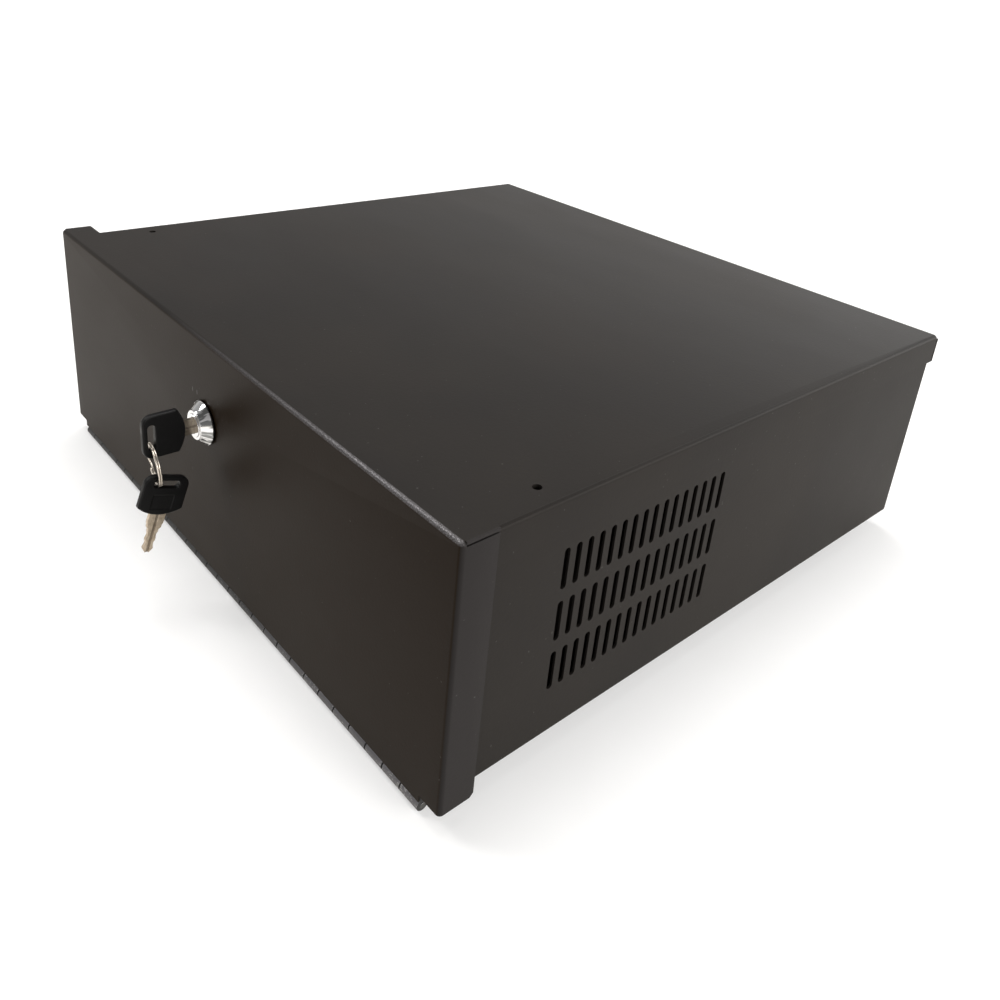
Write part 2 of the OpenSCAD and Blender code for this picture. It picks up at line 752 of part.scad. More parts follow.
// Outline of one edge of the blade, from the bow to the tip
function edge_points() = concat(
    [[-tang_l, blade_h / 2], [cut_first - cut_pitch + cut_flat / 2, blade_h / 2]],
    [for (i = [0 : len(key_cuts) - 1], s = [-cut_flat / 2, cut_flat / 2])
        [cut_first + i * cut_pitch + s, blade_h / 2 - key_cuts[i]]],
    [[blade_l - tip_l, (tip_h + blade_h) / 4], [blade_l, tip_h / 2]]);

module key_blade_shape() {
    top = edge_points();
    low = [for (i = [len(top) - 1 : -1 : 0]) [top[i][0], -top[i][1]]];
    difference() {
        translate([0, 0, -blade_t / 2]) linear_extrude(blade_t) polygon(concat(top, low));
        // Grooves along both faces
        for (s = [-1, 1]) translate([(blade_l + cut_first) / 2, 0, s * blade_t / 2])
            cube([blade_l - cut_first / 2, groove_w, 2 * groove_sink], center = true);
    }
}

// Key in the lock: blade backwards, bow upright
module in_lock() {
    translate([0, key_y, lock_z]) rotate([90, 0, 90]) children();
}

// Key hanging from the ring by the front end of its slot
module on_ring() {
    translate([0, ring_low_y, ring_low_z]) rotate([-90 - spare_lean, 0, 0]) rotate([90, 0, 90])
        translate([-eye_x + wire_seat, eye_end, 0]) children();
}

module key_blade() {
    color(nickel_silver) in_lock() key_blade_shape();
}

module key_bow() {
    color(plastic_black) in_lock() key_bow_shape();
}

module spare_key_blade() {
    color(nickel_silver) on_ring() key_blade_shape();
}

module spare_key_bow() {
    color(plastic_black) on_ring() key_bow_shape();
}

module key_ring() {
    color(steel_bare) translate([0, ring_y, ring_top_z]) rotate([ring_lean, 0, 0])
        translate([0, 0, -ring_r]) rotate([0, 0, ring_yaw]) rotate([90, 0, 0])
            rotate_extrude($fn = 96) translate([ring_r, 0]) circle(d = ring_wire, $fn = 24);
}

// Tapered rubber foot with a pocket for the screw's head
module foot_shape() {
    difference() {
        translate([0, 0, -foot_h]) cylinder(d1 = foot_low_d, d2 = foot_top_d, h = foot_h);
        translate([0, 0, -foot_h - over]) cylinder(r = foot_pocket_r, h = foot_pocket_h + over);
        translate([0, 0, -foot_h]) cylinder(r = foot_hole_r, h = foot_h + over);
    }
}

module foot_at(x, y) {
    color(rubber_black) translate([x * foot_x, y * foot_y, 0]) foot_shape();
}

module front_left_foot() { foot_at(-1, -1); }
module front_right_foot() { foot_at(1, -1); }
module rear_left_foot() { foot_at(-1, 1); }
module rear_right_foot() { foot_at(1, 1); }

module foot_screws() {
    color(zinc) foot_places() {
        seat = foot_pocket_h - foot_h;
        translate([0, 0, seat - foot_head_h]) difference() {
            cylinder(d = foot_head_d, h = foot_head_h);
            for (a = [0, 90]) rotate(a)
                cube([foot_head_d / 2, recess_w, foot_head_h], center = true);
        }
        translate([0, 0, seat])
            cylinder(d = foot_screw_d, h = sheet + foot_nut_t + foot_screw_end - seat);
    }
}

module foot_nuts() {
    color(zinc) foot_places() translate([0, 0, sheet]) difference() {
        cylinder(d = foot_nut_af / cos(30), h = foot_nut_t, $fn = 6);
        translate([0, 0, -over]) cylinder(r = foot_screw_d / 2 + fit, h = foot_nut_t + 2 * over);
    }
}

// Rubber grommet, turned about its own axis and set in the back wall
module grommet(s) {
    rim_r = entry_hole_d / 2 + grommet_rim;
    bore = entry_bore_d / 2;
    neck_r = entry_hole_d / 2 - fit;
    half = sheet / 2 + fit;
    end = half + grommet_rim_t;
    color(rubber_black) translate([s * entry_span / 2, base_back - sheet / 2, entry_z])
        rotate([-90, 0, 0]) rotate_extrude($fn = 72) polygon([
            [bore, -end], [rim_r - grommet_bevel, -end], [rim_r, grommet_bevel - end],
            [rim_r, -half], [neck_r, -half], [neck_r, half],
            [rim_r, half], [rim_r, end - grommet_bevel], [rim_r - grommet_bevel, end],
            [bore, end]]);
}

module left_grommet() { grommet(-1); }
module right_grommet() { grommet(1); }

base_tray();
back_panel();
top_cover();
door_panel();
door_hinge_leaf();
body_hinge_leaf();
hinge_pin();
lock_housing();
lock_washer();
lock_nut();
lock_plug();
stop_disc();
lock_cam();
cam_screw();
key_blade();
key_bow();
key_ring();
spare_key_blade();
spare_key_bow();
front_left_foot();
front_right_foot();
rear_left_foot();
rear_right_foot();
foot_screws();
foot_nuts();
left_grommet();
right_grommet();
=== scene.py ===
import logging
import math
from dataclasses import dataclass, field
from enum import Enum
from functools import partialmethod
from typing import NamedTuple

import bmesh
import bpy
import numpy as np
from mathutils import Matrix


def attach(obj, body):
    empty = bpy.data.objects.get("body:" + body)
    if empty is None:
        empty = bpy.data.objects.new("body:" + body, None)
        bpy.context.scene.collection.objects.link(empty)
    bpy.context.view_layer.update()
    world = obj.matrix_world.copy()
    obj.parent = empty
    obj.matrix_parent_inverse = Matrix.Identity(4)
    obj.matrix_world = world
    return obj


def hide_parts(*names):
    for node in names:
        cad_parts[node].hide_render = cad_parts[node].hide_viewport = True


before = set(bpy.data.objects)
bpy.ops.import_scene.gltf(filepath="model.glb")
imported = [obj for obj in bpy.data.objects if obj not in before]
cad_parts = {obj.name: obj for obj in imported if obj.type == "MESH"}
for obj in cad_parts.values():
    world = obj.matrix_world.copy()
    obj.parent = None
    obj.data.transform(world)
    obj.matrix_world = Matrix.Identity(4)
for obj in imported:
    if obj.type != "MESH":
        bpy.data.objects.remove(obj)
log = logging.getLogger("lock_box")
MM = 0.001
Colour = tuple[float, float, float]
Spot = tuple[float, float, float]

LOCK_Z = 83.5 * MM                 # height of the lock's axis
DOOR_FRONT = -187.1 * MM           # depth of the door's front face
DOOR_INNER = -184.9 * MM           # depth of the centre lines of the door's folds
SPARE_LEAN = math.radians(19)      # how far the hanging key leans from the plumb line
PAPER_WHITE = (1.0, 0.985, 0.965)  # tone of the lamps and the surround
SHARP_FROM = 35.0                  # degrees between two faces that are shaded as an edge
ROUND_FROM = 28.0                  # degrees between two faces whose edge is rounded
FLAT_UNDER = 0.4                   # degrees between two faces that are merged into one


# ---- shader maths


class Socket:
    """A shader socket that takes part in Python arithmetic, one Math node for each operator."""

    def __init__(self, web: "Web", link: bpy.types.NodeSocket) -> None:
        """Keeps the node tree and the socket."""
        self.web = web
        self.link = link

    def fold(self, operation: str, other: "Socket | float" = 0.0,
             swapped: bool = False) -> "Socket":
        """Joins this socket and another value with one Math node.

        Args:
            operation: the Math node's operation, such as ADD, FRACT, ABSOLUTE or MAXIMUM.
            other: a socket or a number.
            swapped: True where the other value comes first.

        Returns:
            The result's socket.
        """
        first, second = (other, self) if swapped else (self, other)
        return self.web.node("ShaderNodeMath", {"operation": operation}, {0: first, 1: second})

    __add__ = partialmethod(fold, "ADD")
    __radd__ = partialmethod(fold, "ADD", swapped=True)
    __sub__ = partialmethod(fold, "SUBTRACT")
    __rsub__ = partialmethod(fold, "SUBTRACT", swapped=True)
    __mul__ = partialmethod(fold, "MULTIPLY")
    __truediv__ = partialmethod(fold, "DIVIDE")
    __pow__ = partialmethod(fold, "POWER")

    def step(self, low: float, high: float) -> "Socket":
        """Smooth step: 0 below low, 1 above high, or the reverse where low is the larger."""
        return self.web.node("ShaderNodeMapRange", {"interpolation_type": "SMOOTHSTEP"},
                             {0: self, 1: low, 2: high, 3: 0.0, 4: 1.0})


class Noise(NamedTuple):
    """One layer of cloudy noise.

    Attributes:
        scale: features in a metre.
        detail: octaves.
        rough: how strong the finer octaves are.
        stretch: scale on each axis, for a grain that runs one way.
    """

    scale: float
    detail: float = 2.0
    rough: float = 0.5
    stretch: Spot = (1.0, 1.0, 1.0)


class Web:
    """A node tree that grows by calls, of a material or of the surround."""

    def __init__(self, tree: bpy.types.NodeTree) -> None:
        """Keeps the tree."""
        self.tree = tree

    def node(self, kind: str, settings: dict | None = None, sockets: dict | None = None,
             output: int | str = 0) -> Socket:
        """Adds a node, sets its settings, then its sockets.

        Args:
            kind: the node's type.
            settings: the node's properties.
            sockets: input names or numbers with values or links.
            output: which output is returned.

        Returns:
            The chosen output as a Socket.
        """
        made = self.tree.nodes.new(kind)
        for key, value in (settings or {}).items():
            setattr(made, key, value)
        for key, value in (sockets or {}).items():
            self.feed(made.inputs[key], value)
        return Socket(self, made.outputs[output])

    def feed(self, socket: bpy.types.NodeSocket, value: object) -> None:
        """Links a Socket to an input, or sets a plain value on it."""
        if isinstance(value, Socket):
            self.tree.links.new(value.link, socket)
        elif isinstance(value, tuple) and len(value) == 3 and socket.type == "RGBA":
            socket.default_value = (*value, 1.0)
        else:
            socket.default_value = value

    def place(self) -> Socket:
        """Object coordinates, which are the box's own metres."""
        return self.node("ShaderNodeTexCoord", output="Object")

    def axes(self, spot: Socket | None = None) -> tuple[Socket, Socket, Socket]:
        """The three coordinates of a spot apart; without one, the object coordinates."""
        spot = spot or self.place()
        return tuple(self.node("ShaderNodeSeparateXYZ", sockets={0: spot}, output=i)
                     for i in range(3))

    def noise(self, layer: Noise, at: Socket | None = None) -> Socket:
        """One layer of noise from 0 to 1, read at a spot or at the object coordinates."""
        spot = at or self.node("ShaderNodeMapping", sockets={
            "Vector": self.place(), "Scale": layer.stretch})
        return self.node("ShaderNodeTexNoise", sockets={
            "Vector": spot, "Scale": layer.scale, "Detail": layer.detail,
            "Roughness": layer.rough})

    def mix(self, share: Socket | float, low: object, high: object) -> Socket:
        """Mixes two colours."""
        return self.node("ShaderNodeMix", {"data_type": "RGBA"}, {0: share, 6: low, 7: high}, 2)


class Surface(Web):
    """One material's node tree, with its Principled shader and its output."""

    def __init__(self, name: str) -> None:
        """Makes an empty material with a Principled shader."""
        self.material = bpy.data.materials.new(name)
        self.material.use_nodes = True
        super().__init__(self.material.node_tree)
        self.tree.nodes.clear()
        self.shader = self.tree.nodes.new("ShaderNodeBsdfPrincipled")
        output = self.tree.nodes.new("ShaderNodeOutputMaterial")
        self.tree.links.new(self.shader.outputs[0], output.inputs["Surface"])

    def set(self, **sockets: object) -> None:
        """Feeds the Principled shader's sockets; underscores in the names stand for spaces."""
        for key, value in sockets.items():
            self.feed(self.shader.inputs[key.replace("_", " ")], value)

    def bump(self, height: Socket, depth: float) -> None:
        """Raises the surface by height times depth, in metres."""
        self.set(Normal=self.node("ShaderNodeBump", sockets={
            "Height": height, "Distance": depth, "Strength": 1.0}, output="Normal"))


# ---- finishes


class PaleMark(NamedTuple):
    """A short upright pale mark on the door's front: its middle's X and Z, and half its length."""

    x: float
    z: float
    half: float


# Pale marks on the door's front: the first two, just above the lock, are painted reflections of the
# lock head's facets; the other two are small pale marks.
DOOR_PALE_MARKS = (PaleMark(-13.5 * MM, 96.3 * MM, 1.7 * MM), PaleMark(-8.4 * MM, 96.6 * MM, 1.7 * MM),
             PaleMark(196.3 * MM, 18.7 * MM, 0.5 * MM), PaleMark(38.2 * MM, 105.3 * MM, 0.3 * MM))


@dataclass(frozen=True)
class PowderCoat:
    """Satin powder coat on sheet steel: orange peel, faint handling clouds and a few specks.

    Attributes:
        colour, cloud: the coat's tone, and its tone where hands have been.
        roughness, gloss: the mean roughness and the specular level.
        depth: how high the orange peel stands, in metres.
        peel, clouds, wipes, grit, dust: layers of noise from the orange peel to the specks.
        speck: the tone of specks and of the pale marks.
        side_x: how far from the middle the folds of both sides run, which carry painted shade; 0
            for none.
        side_z, side_y: the height of lengthwise side folds, or the depth of upright ones.
        side_r: their radius.
        fold_y, fold_z, fold_r: line and radius of the door's upper fold, which carries a painted
            highlight; a radius of 0 for none. The next fields only count where there is one.
        fold_x: the stretch along X over which the painted highlight sets in.
        front, painted_flank_light: tones of the door's front face and of its two flanks; the
            front's warm brown is set darker as painted shade, and the flanks are painted lighter.
        flank_x: the distances from the middle over which the flanks' painted light sets in.
        fold_glint, glint_grain: the painted highlight's tone on the upper fold, and the noise that
            breaks it up.
        pale_marks: short pale marks on the front; the first two, above the lock, are painted
            reflections.
    """

    name: str = "powder_coat"
    colour: Colour = (0.0132, 0.0118, 0.0110)
    cloud: Colour = (0.0158, 0.0138, 0.0124)
    roughness: float = 0.42
    gloss: float = 0.055
    depth: float = 0.035 * MM
    peel: Noise = Noise(620.0, 1.5, 0.4)
    clouds: Noise = Noise(9.0, 3.0)
    wipes: Noise = Noise(16.0, 4.0, 0.6, (0.35, 1.0, 1.0))
    grit: Noise = Noise(2300.0, 1.0)
    dust: Noise = Noise(640.0, 0.0)
    speck: Colour = (0.10, 0.097, 0.093)
    side_x: float = 0.0
    side_z: float = 0.0
    side_y: float = 0.0
    side_r: float = 2.2 * MM
    fold_y: float = 0.0
    fold_z: float = 0.0
    fold_r: float = 0.0
    fold_x: tuple[float, float] = (-0.06, 0.19)
    front: Colour = (0.0120, 0.0068, 0.0032)
    painted_flank_light: Colour = (0.0190, 0.0172, 0.0170)
    flank_x: tuple[float, float] = (196.6 * MM, 197.7 * MM)
    fold_glint: Colour = (0.14, 0.135, 0.14)
    glint_grain: Noise = Noise(2100.0, 2.0, 0.7)
    pale_marks: tuple[PaleMark, ...] = ()

    def build(self) -> bpy.types.Material:
        """Makes the material."""
        web = Surface(self.name)
        clouds, wipes = web.noise(self.clouds), web.noise(self.wipes)
        peel, grit = web.noise(self.peel), web.noise(self.grit)
        specks_and_glints = web.noise(self.dust).step(0.845, 0.875)
        tone = web.mix(clouds.step(0.35, 0.7), self.colour, self.cloud)
        rough = self.roughness + clouds * 0.06 + wipes * 0.09 + grit * 0.04 - 0.09
        # Painted shade: a metallic share along the side folds gives them a dark band.
        metal = self._side_fold_shade(web) * 0.42 if self.side_x else 0.0
        if self.fold_r:
            # Painted light and shade: the front face is a warm brown set darker as painted shade,
            # and the two flanks are painted lighter than the rest of the coat.
            tone = web.mix(self._front(web), tone, self.front)
            painted_flank_light = web.axes()[0].fold("ABSOLUTE").step(*self.flank_x)
            tone = web.mix(painted_flank_light, tone, self.painted_flank_light)
            # Painted highlight: a bright, partly metallic band along the door's upper fold, growing
            # to the right, stands in for the fold softbox's reflection; the grain breaks it into
            # sparkle.
            fold_glint = self._fold(web) * (0.35 + web.noise(self.glint_grain).step(0.44, 0.60) * 0.65)
            tone = web.mix(fold_glint, tone, self.fold_glint)
            metal = metal.fold("MAXIMUM", fold_glint * 0.6)
            rough = rough - fold_glint * 0.06
        # The pale marks join the specks; the first two are painted reflections of the lock head.
        for mark in self.pale_marks:
            specks_and_glints = specks_and_glints.fold("MAXIMUM", self._pale_mark(web, mark))
        web.set(Base_Color=web.mix(specks_and_glints * 0.35, tone, self.speck),
                Roughness=rough, Metallic=metal, Specular_IOR_Level=self.gloss)
        web.bump(peel * 0.8 + grit * 0.25, self.depth)
        return web.material

    def _fold(self, web: Web) -> Socket:
        """How far a spot lies on the upper fold, growing along X: where the painted highlight goes.

        The product of its two offsets from the centre line over the radius squared peaks
        halfway round.
        """
        x, y, z = web.axes()
        halfway = (self.fold_y - y) * (z - self.fold_z) / (self.fold_r * self.fold_r)
        ahead = (self.fold_y - y).step(0.0, 0.1 * self.fold_r)
        return halfway.step(0.10, 0.42) * ahead * x.step(*self.fold_x)

    def _side_fold_shade(self, web: Web) -> Socket:
        """How far a spot lies on the folds of both sides, where a metallic share paints their dark
        band as shade.
        """
        x, y, z = web.axes()
        out = x.fold("ABSOLUTE") - self.side_x
        ahead = z - self.side_z if self.side_z else self.side_y - y
        halfway = out * ahead / (self.side_r * self.side_r)
        return halfway.step(0.04, 0.40) * out.step(0.0, 0.1 * self.side_r)

    def _front(self, web: Web) -> Socket:
        """1 on the flat front face, ahead of the folds."""
        return (self.fold_y - web.axes()[1]).step(0.80 * self.fold_r, 0.97 * self.fold_r)

    def _pale_mark(self, web: Web, mark: PaleMark) -> Socket:
        """A short upright pale mark on the front face, a third as wide as long and soft all round.
        """
        x, _, z = web.axes()
        dx, dz = (x - mark.x) * 3.0, z - mark.z
        reach = mark.half * mark.half
        return (dx * dx + dz * dz).step(reach, reach * 0.2) * self._front(web) * 2.4


@dataclass(frozen=True)
class KnuckleSteel:
    """Black coated hinge steel with a metallic sheen and rubbed bright at the knuckles' ends, both
    growing along X as painted light.
    """

    name: str = "knuckle_steel"
    coat: Colour = (0.012, 0.012, 0.0125)
    sheen: Colour = (0.175, 0.172, 0.182)
    bright: Colour = (0.60, 0.59, 0.58)
    pitch: float = 12.75 * MM
    length: float = 369.75 * MM
    axis_y: float = -184.45 * MM
    axis_z: float = -7.7 * MM
    radius: float = 2.75 * MM
    painted_sheen_x: tuple[float, float] = (-0.03, 0.15)
    seam_at: float = 1.9 * MM
    seam_w: float = 0.22 * MM
    weld_step: float = 38.1 * MM
    weld_z: float = 6.0 * MM
    weld_r: tuple[float, float] = (1.7 * MM, 2.4 * MM)
    relief: float = 0.12 * MM
    grain: Noise = Noise(900.0, 2.0, 0.6, (1.0, 1.8, 1.8))
    fine: Noise = Noise(2600.0, 2.0, 0.6)
    patch: Noise = Noise(95.0, 2.0, 0.5, (0.6, 1.0, 1.0))

    def build(self) -> bpy.types.Material:
        """Makes the material.

        Wear and sheen follow the distance to the joint between two knuckles; their growth along X
        is painted light, lighter towards the barrel's right end. A spot weld marks the leaf at
        every third knuckle, and a seam runs where the knuckle is rolled shut.
        """
        web = Surface(self.name)
        x, y, z = web.axes()
        along = ((x + self.length / 2) / self.pitch).fold("FRACT")
        to_end = (along - 0.5).fold("ABSOLUTE")
        dy, dz = y - self.axis_y, z - self.axis_z
        reach = (dy * dy + dz * dz) ** 0.5
        on_barrel = reach.step(1.12 * self.radius, 1.02 * self.radius)
        grain, fine, patch = (web.noise(each) for each in (self.grain, self.fine, self.patch))
        clear = to_end.step(0.478, 0.452)
        # Painted light: the sheen and the rubbed specks grow towards +X, where the barrel is
        # painted lighter.
        painted_sheen_ramp = 0.12 + x.step(*self.painted_sheen_x) * 0.88
        sheen = on_barrel * clear * (0.62 + patch * 0.38) * painted_sheen_ramp
        worn = grain * 0.65 + patch * 0.35 + to_end.step(0.30, 0.48) * 0.05
        rubbed = on_barrel * clear * worn.step(0.56, 0.66) * painted_sheen_ramp
        tone = web.mix(sheen, self.coat, self.sheen)
        web.set(Base_Color=web.mix(rubbed * 0.55, tone, self.bright),
                Metallic=sheen * 0.85 + rubbed * 0.15,
                Roughness=0.52 - sheen * 0.06 + fine * 0.08 - rubbed * 0.06)
        seam = (dz * 0.75 - dy * 0.66 - self.seam_at).fold("ABSOLUTE").step(0.0, self.seam_w)
        weld_x = ((x / self.weld_step).fold("FRACT") - 0.5) * self.weld_step
        weld = (weld_x * weld_x + (z - self.weld_z) * (z - self.weld_z)) ** 0.5
        dimple = weld.step(*self.weld_r)
        height = grain * 0.08 + fine * 0.10 + (seam - 1.0) * on_barrel * 0.25 + dimple * 1.4
        web.bump(height, self.relief)
        return web.material


class Lustre(Enum):
    """How far a plated metal has been polished: roughness, height of its scratches in metres, and
    how much of the tarnish shows."""

    MIRROR = (0.07, 0.004 * MM, 0.25)
    PLATED = (0.30, 0.018 * MM, 0.70)
    DRAWN = (0.24, 0.014 * MM, 0.55)
    BURNISHED = (0.30, 0.003 * MM, 0.30)


@dataclass(frozen=True)
class PlatedMetal:
    """Plated or bare metal: cloudy tarnish, fine scratches and a grain that suits its lustre.

    Attributes:
        colour, stain: the metal's tone, and its tone where it is tarnished.
        lustre: how far it has been polished.
        grain: the scratches' stretch on each axis.
        thread_pitch: the pitch of thread ridges along Z; 0 for none.
        reflection_z: the height of an axis along Y with painted dark reflections round it, as
            narrow wedges; 0 for none.
        reflection_r: the distances from that axis over which the painted reflections set in.
        rim_y: the depth where the rim meets the door, with painted shade in the corner.
            dark_reflection, rim_shade: the tones of the painted reflections and of the painted
                shade.
    """

    name: str
    colour: Colour
    stain: Colour
    lustre: Lustre = Lustre.PLATED
    grain: Spot = (1.0, 1.0, 1.0)
    thread_pitch: float = 0.0
    reflection_z: float = 0.0
    reflection_r: tuple[float, float] = (7.4 * MM, 8.0 * MM)
    rim_y: float = 0.0
    dark_reflection: Colour = (0.115, 0.120, 0.115)
    rim_shade: Colour = (0.018, 0.018, 0.019)

    def build(self) -> bpy.types.Material:
        """Makes the material."""
        web = Surface(self.name)
        rough, depth, share = self.lustre.value
        clouds = web.noise(Noise(260.0, 3.0, 0.6))
        scratches = web.noise(Noise(900.0, 4.0, 0.7, self.grain))
        fine = web.noise(Noise(3200.0))
        tone = web.mix(clouds.step(0.42, 0.72) * share, self.colour, self.stain)
        if self.reflection_z:
            tone = self._painted_reflections(web, tone)
        worn = scratches.step(0.5, 0.75) * 0.12 * share
        web.set(Base_Color=tone, Metallic=1.0, Roughness=rough + clouds * 0.10 * share + worn)
        height = scratches * 0.7 + fine * 0.3
        if self.thread_pitch:
            z = web.axes()[2]
            ridge = ((z / self.thread_pitch).fold("FRACT") - 0.5).fold("ABSOLUTE")
            height = height * 0.2 + ridge * 9.0
        web.bump(height, depth)
        return web.material

    def _painted_reflections(self, web: Web, tone: Socket) -> Socket:
        """Paints dark reflections as narrow wedges: the noise is read on the unit circle, so it
        follows the turn and, slowly, the depth. Then it paints shade where the rim meets the door."""
        x, y, z = web.axes()
        up = z - self.reflection_z
        reach = (x * x + up * up + 1e-9) ** 0.5
        turn = web.node("ShaderNodeCombineXYZ", sockets={0: x / reach, 1: up / reach, 2: y * 30.0})
        narrow = web.noise(Noise(2.9, 2.0, 0.55), turn).step(0.50, 0.57)
        tone = web.mix(narrow * reach.step(*self.reflection_r) * 0.82, tone, self.dark_reflection)
        # Painted shade where the rim meets the door, standing for the door's dark reflection in the
        # rim.
        return web.mix((y - self.rim_y).step(-1.1 * MM, -0.7 * MM), tone, self.rim_shade)


@dataclass(frozen=True)
class KeyMetal:
    """Worn nickel silver: a milled groove along the middle, milling lines and handling scratches.

    Attributes:
        colour, dull: the metal's tone, and its tone where it has gone dull.
        axis: a point (y, z) on the blade's middle line.
        angle: the turn of that line from -Y.
        groove, groove_w: the groove's tone, painted shade in the groove, and the two half widths
            between which it fades.
        mill_lines: how fast the milling lines follow each other.
        relief: the height of scratches, in metres.
    """

    name: str = "key_nickel_silver"
    colour: Colour = (0.56, 0.475, 0.375)
    dull: Colour = (0.33, 0.27, 0.20)
    axis: tuple[float, float] = (0.0, LOCK_Z)
    angle: float = 0.0
    groove: Colour = (0.09, 0.075, 0.06)
    groove_w: tuple[float, float] = (0.75 * MM, 0.50 * MM)
    mill_lines: float = 2600.0
    relief: float = 0.02 * MM

    def build(self) -> bpy.types.Material:
        """Makes the material."""
        web = Surface(self.name)
        _, y, z = web.axes()
        across = ((z - self.axis[1]) * math.cos(self.angle)
                  + (y - self.axis[0]) * math.sin(self.angle))
        groove = across.fold("ABSOLUTE").step(*self.groove_w)
        clouds = web.noise(Noise(420.0, 3.0, 0.6))
        scratch = web.noise(Noise(1400.0, 4.0, 0.7, (3.0, 0.5, 0.5)))
        milling = (y * self.mill_lines).fold("SINE")
        tone = web.mix(clouds.step(0.35, 0.7) * 0.75 + scratch.step(0.55, 0.8) * 0.25,
                       self.colour, self.dull)
        # Painted shade: the groove, which exists only as a bump, is painted darker.
        web.set(Base_Color=web.mix(groove * 0.6, tone, self.groove), Metallic=1.0,
                Roughness=0.27 + clouds * 0.16 + scratch.step(0.5, 0.8) * 0.10)
        web.bump(scratch * 0.8 + milling * 0.12 + clouds * 0.2 - groove * 6.0, self.relief)
        return web.material


@dataclass(frozen=True)
class MouldedPlastic:
    """Black moulded plastic with a fine spark-eroded grain and rubbed, glossier high spots."""

    name: str = "key_black_plastic"
    colour: Colour = (0.0032, 0.0031, 0.0033)
    rubbed: Colour = (0.0065, 0.0063, 0.0065)
    gloss: float = 0.14
    relief: float = 0.018 * MM

    def build(self) -> bpy.types.Material:
        """Makes the material."""
        web = Surface(self.name)
        wear = web.noise(Noise(180.0, 3.0, 0.6))
        grain = web.noise(Noise(4200.0, 2.0, 0.6))
        scuffs = web.noise(Noise(700.0, 4.0, 0.75, (1.0, 4.0, 0.7))).step(0.60, 0.70)
        share = wear.step(0.4, 0.7) * 0.7 + scuffs * 0.3
        web.set(Base_Color=web.mix(share, self.colour, self.rubbed),
                Roughness=0.40 + grain * 0.12 - wear.step(0.45, 0.7) * 0.12 + scuffs * 0.1,
                Specular_IOR_Level=self.gloss)
        web.bump(grain * 0.5 - scuffs * 0.35, self.relief)
        return web.material


@dataclass(frozen=True)
class SoftRubber:
    """Moulded rubber: matt, with a dusty bloom and a fine grain."""

    name: str = "black_rubber"
    colour: Colour = (0.012, 0.012, 0.012)
    bloom: Colour = (0.040, 0.039, 0.037)
    relief: float = 0.03 * MM

    def build(self) -> bpy.types.Material:
        """Makes the material."""
        web = Surface(self.name)
        dust = web.noise(Noise(130.0, 4.0, 0.7))
        grain = web.noise(Noise(2200.0, 2.0, 0.6))
        web.set(Base_Color=web.mix(dust.step(0.4, 0.75) * 0.8, self.colour, self.bloom),
                Roughness=0.78 + dust * 0.14, IOR=1.5)
        web.bump(grain * 0.6 + dust * 0.2, self.relief)
        return web.material


# ---- mesh making


def grid_faces(rows: int, columns: int, wrap_rows: bool, wrap_columns: bool) -> np.ndarray:
    """Quads of a grid of points, row by row.

    Args:
        rows: points along the first parameter.
        columns: points along the second parameter.
        wrap_rows: True where the last row meets the first.
        wrap_columns: True where the last column meets the first.

    Returns:
        An array of four point numbers for each quad.
    """
    r = np.arange(rows if wrap_rows else rows - 1)
    c = np.arange(columns if wrap_columns else columns - 1)
    r, c = (a.ravel() for a in np.meshgrid(r, c, indexing="ij"))
    r2, c2 = (r + 1) % rows, (c + 1) % columns
    return np.stack([r * columns + c, r2 * columns + c, r2 * columns + c2, r * columns + c2], 1)


def linked(name: str, data: bpy.types.ID) -> bpy.types.Object:
    """A new object that holds the data, linked into the scene."""
    made = bpy.data.objects.new(name, data)
    bpy.context.scene.collection.objects.link(made)
    return made


def smoothed(name: str, mesh: bpy.types.Mesh, limit: float) -> bpy.types.Object:
    """A new object with the mesh shaded smooth up to a limit in degrees."""
    mesh.polygons.foreach_set("use_smooth", [True] * len(mesh.polygons))
    mesh.set_sharp_from_angle(angle=math.radians(limit))
    return linked(name, mesh)


def put_mesh(name: str, points: np.ndarray, faces: np.ndarray | list,
             outward: bool = True) -> bpy.types.Object:
    """Puts points and faces into a new object at the origin.

    Args:
        name: the object's name.
        points: an N by 3 array in metres.
        faces: point numbers of each face.
        outward: True where the normals are to be worked out again.

    Returns:
        The new object.
    """
    mesh = bpy.data.meshes.new(name)
    mesh.from_pydata(points.reshape(-1, 3).tolist(), [],
                     faces.tolist() if isinstance(faces, np.ndarray) else faces)
    if outward:
        work = bmesh.new()
        work.from_mesh(mesh)
        bmesh.ops.remove_doubles(work, verts=work.verts, dist=1e-7)
        bmesh.ops.recalc_face_normals(work, faces=work.faces)
        work.to_mesh(mesh)
        work.free()
    return smoothed(name, mesh, SHARP_FROM)


def round_axis(radius: np.ndarray | float, depth: np.ndarray | float,
               turn: np.ndarray | float) -> np.ndarray:
    """Points round an axis along Y, by radius, depth and turn from the upright."""
    parts = np.broadcast_arrays(radius * np.sin(turn), depth, radius * np.cos(turn))
    return np.stack(parts, -1)


def ease(t: np.ndarray | float) -> np.ndarray | float:
    """Smooth step of t between 0 and 1: 3 t squared minus 2 t cubed."""
    t = np.clip(t, 0.0, 1.0)
    return t * t * (3 - 2 * t)


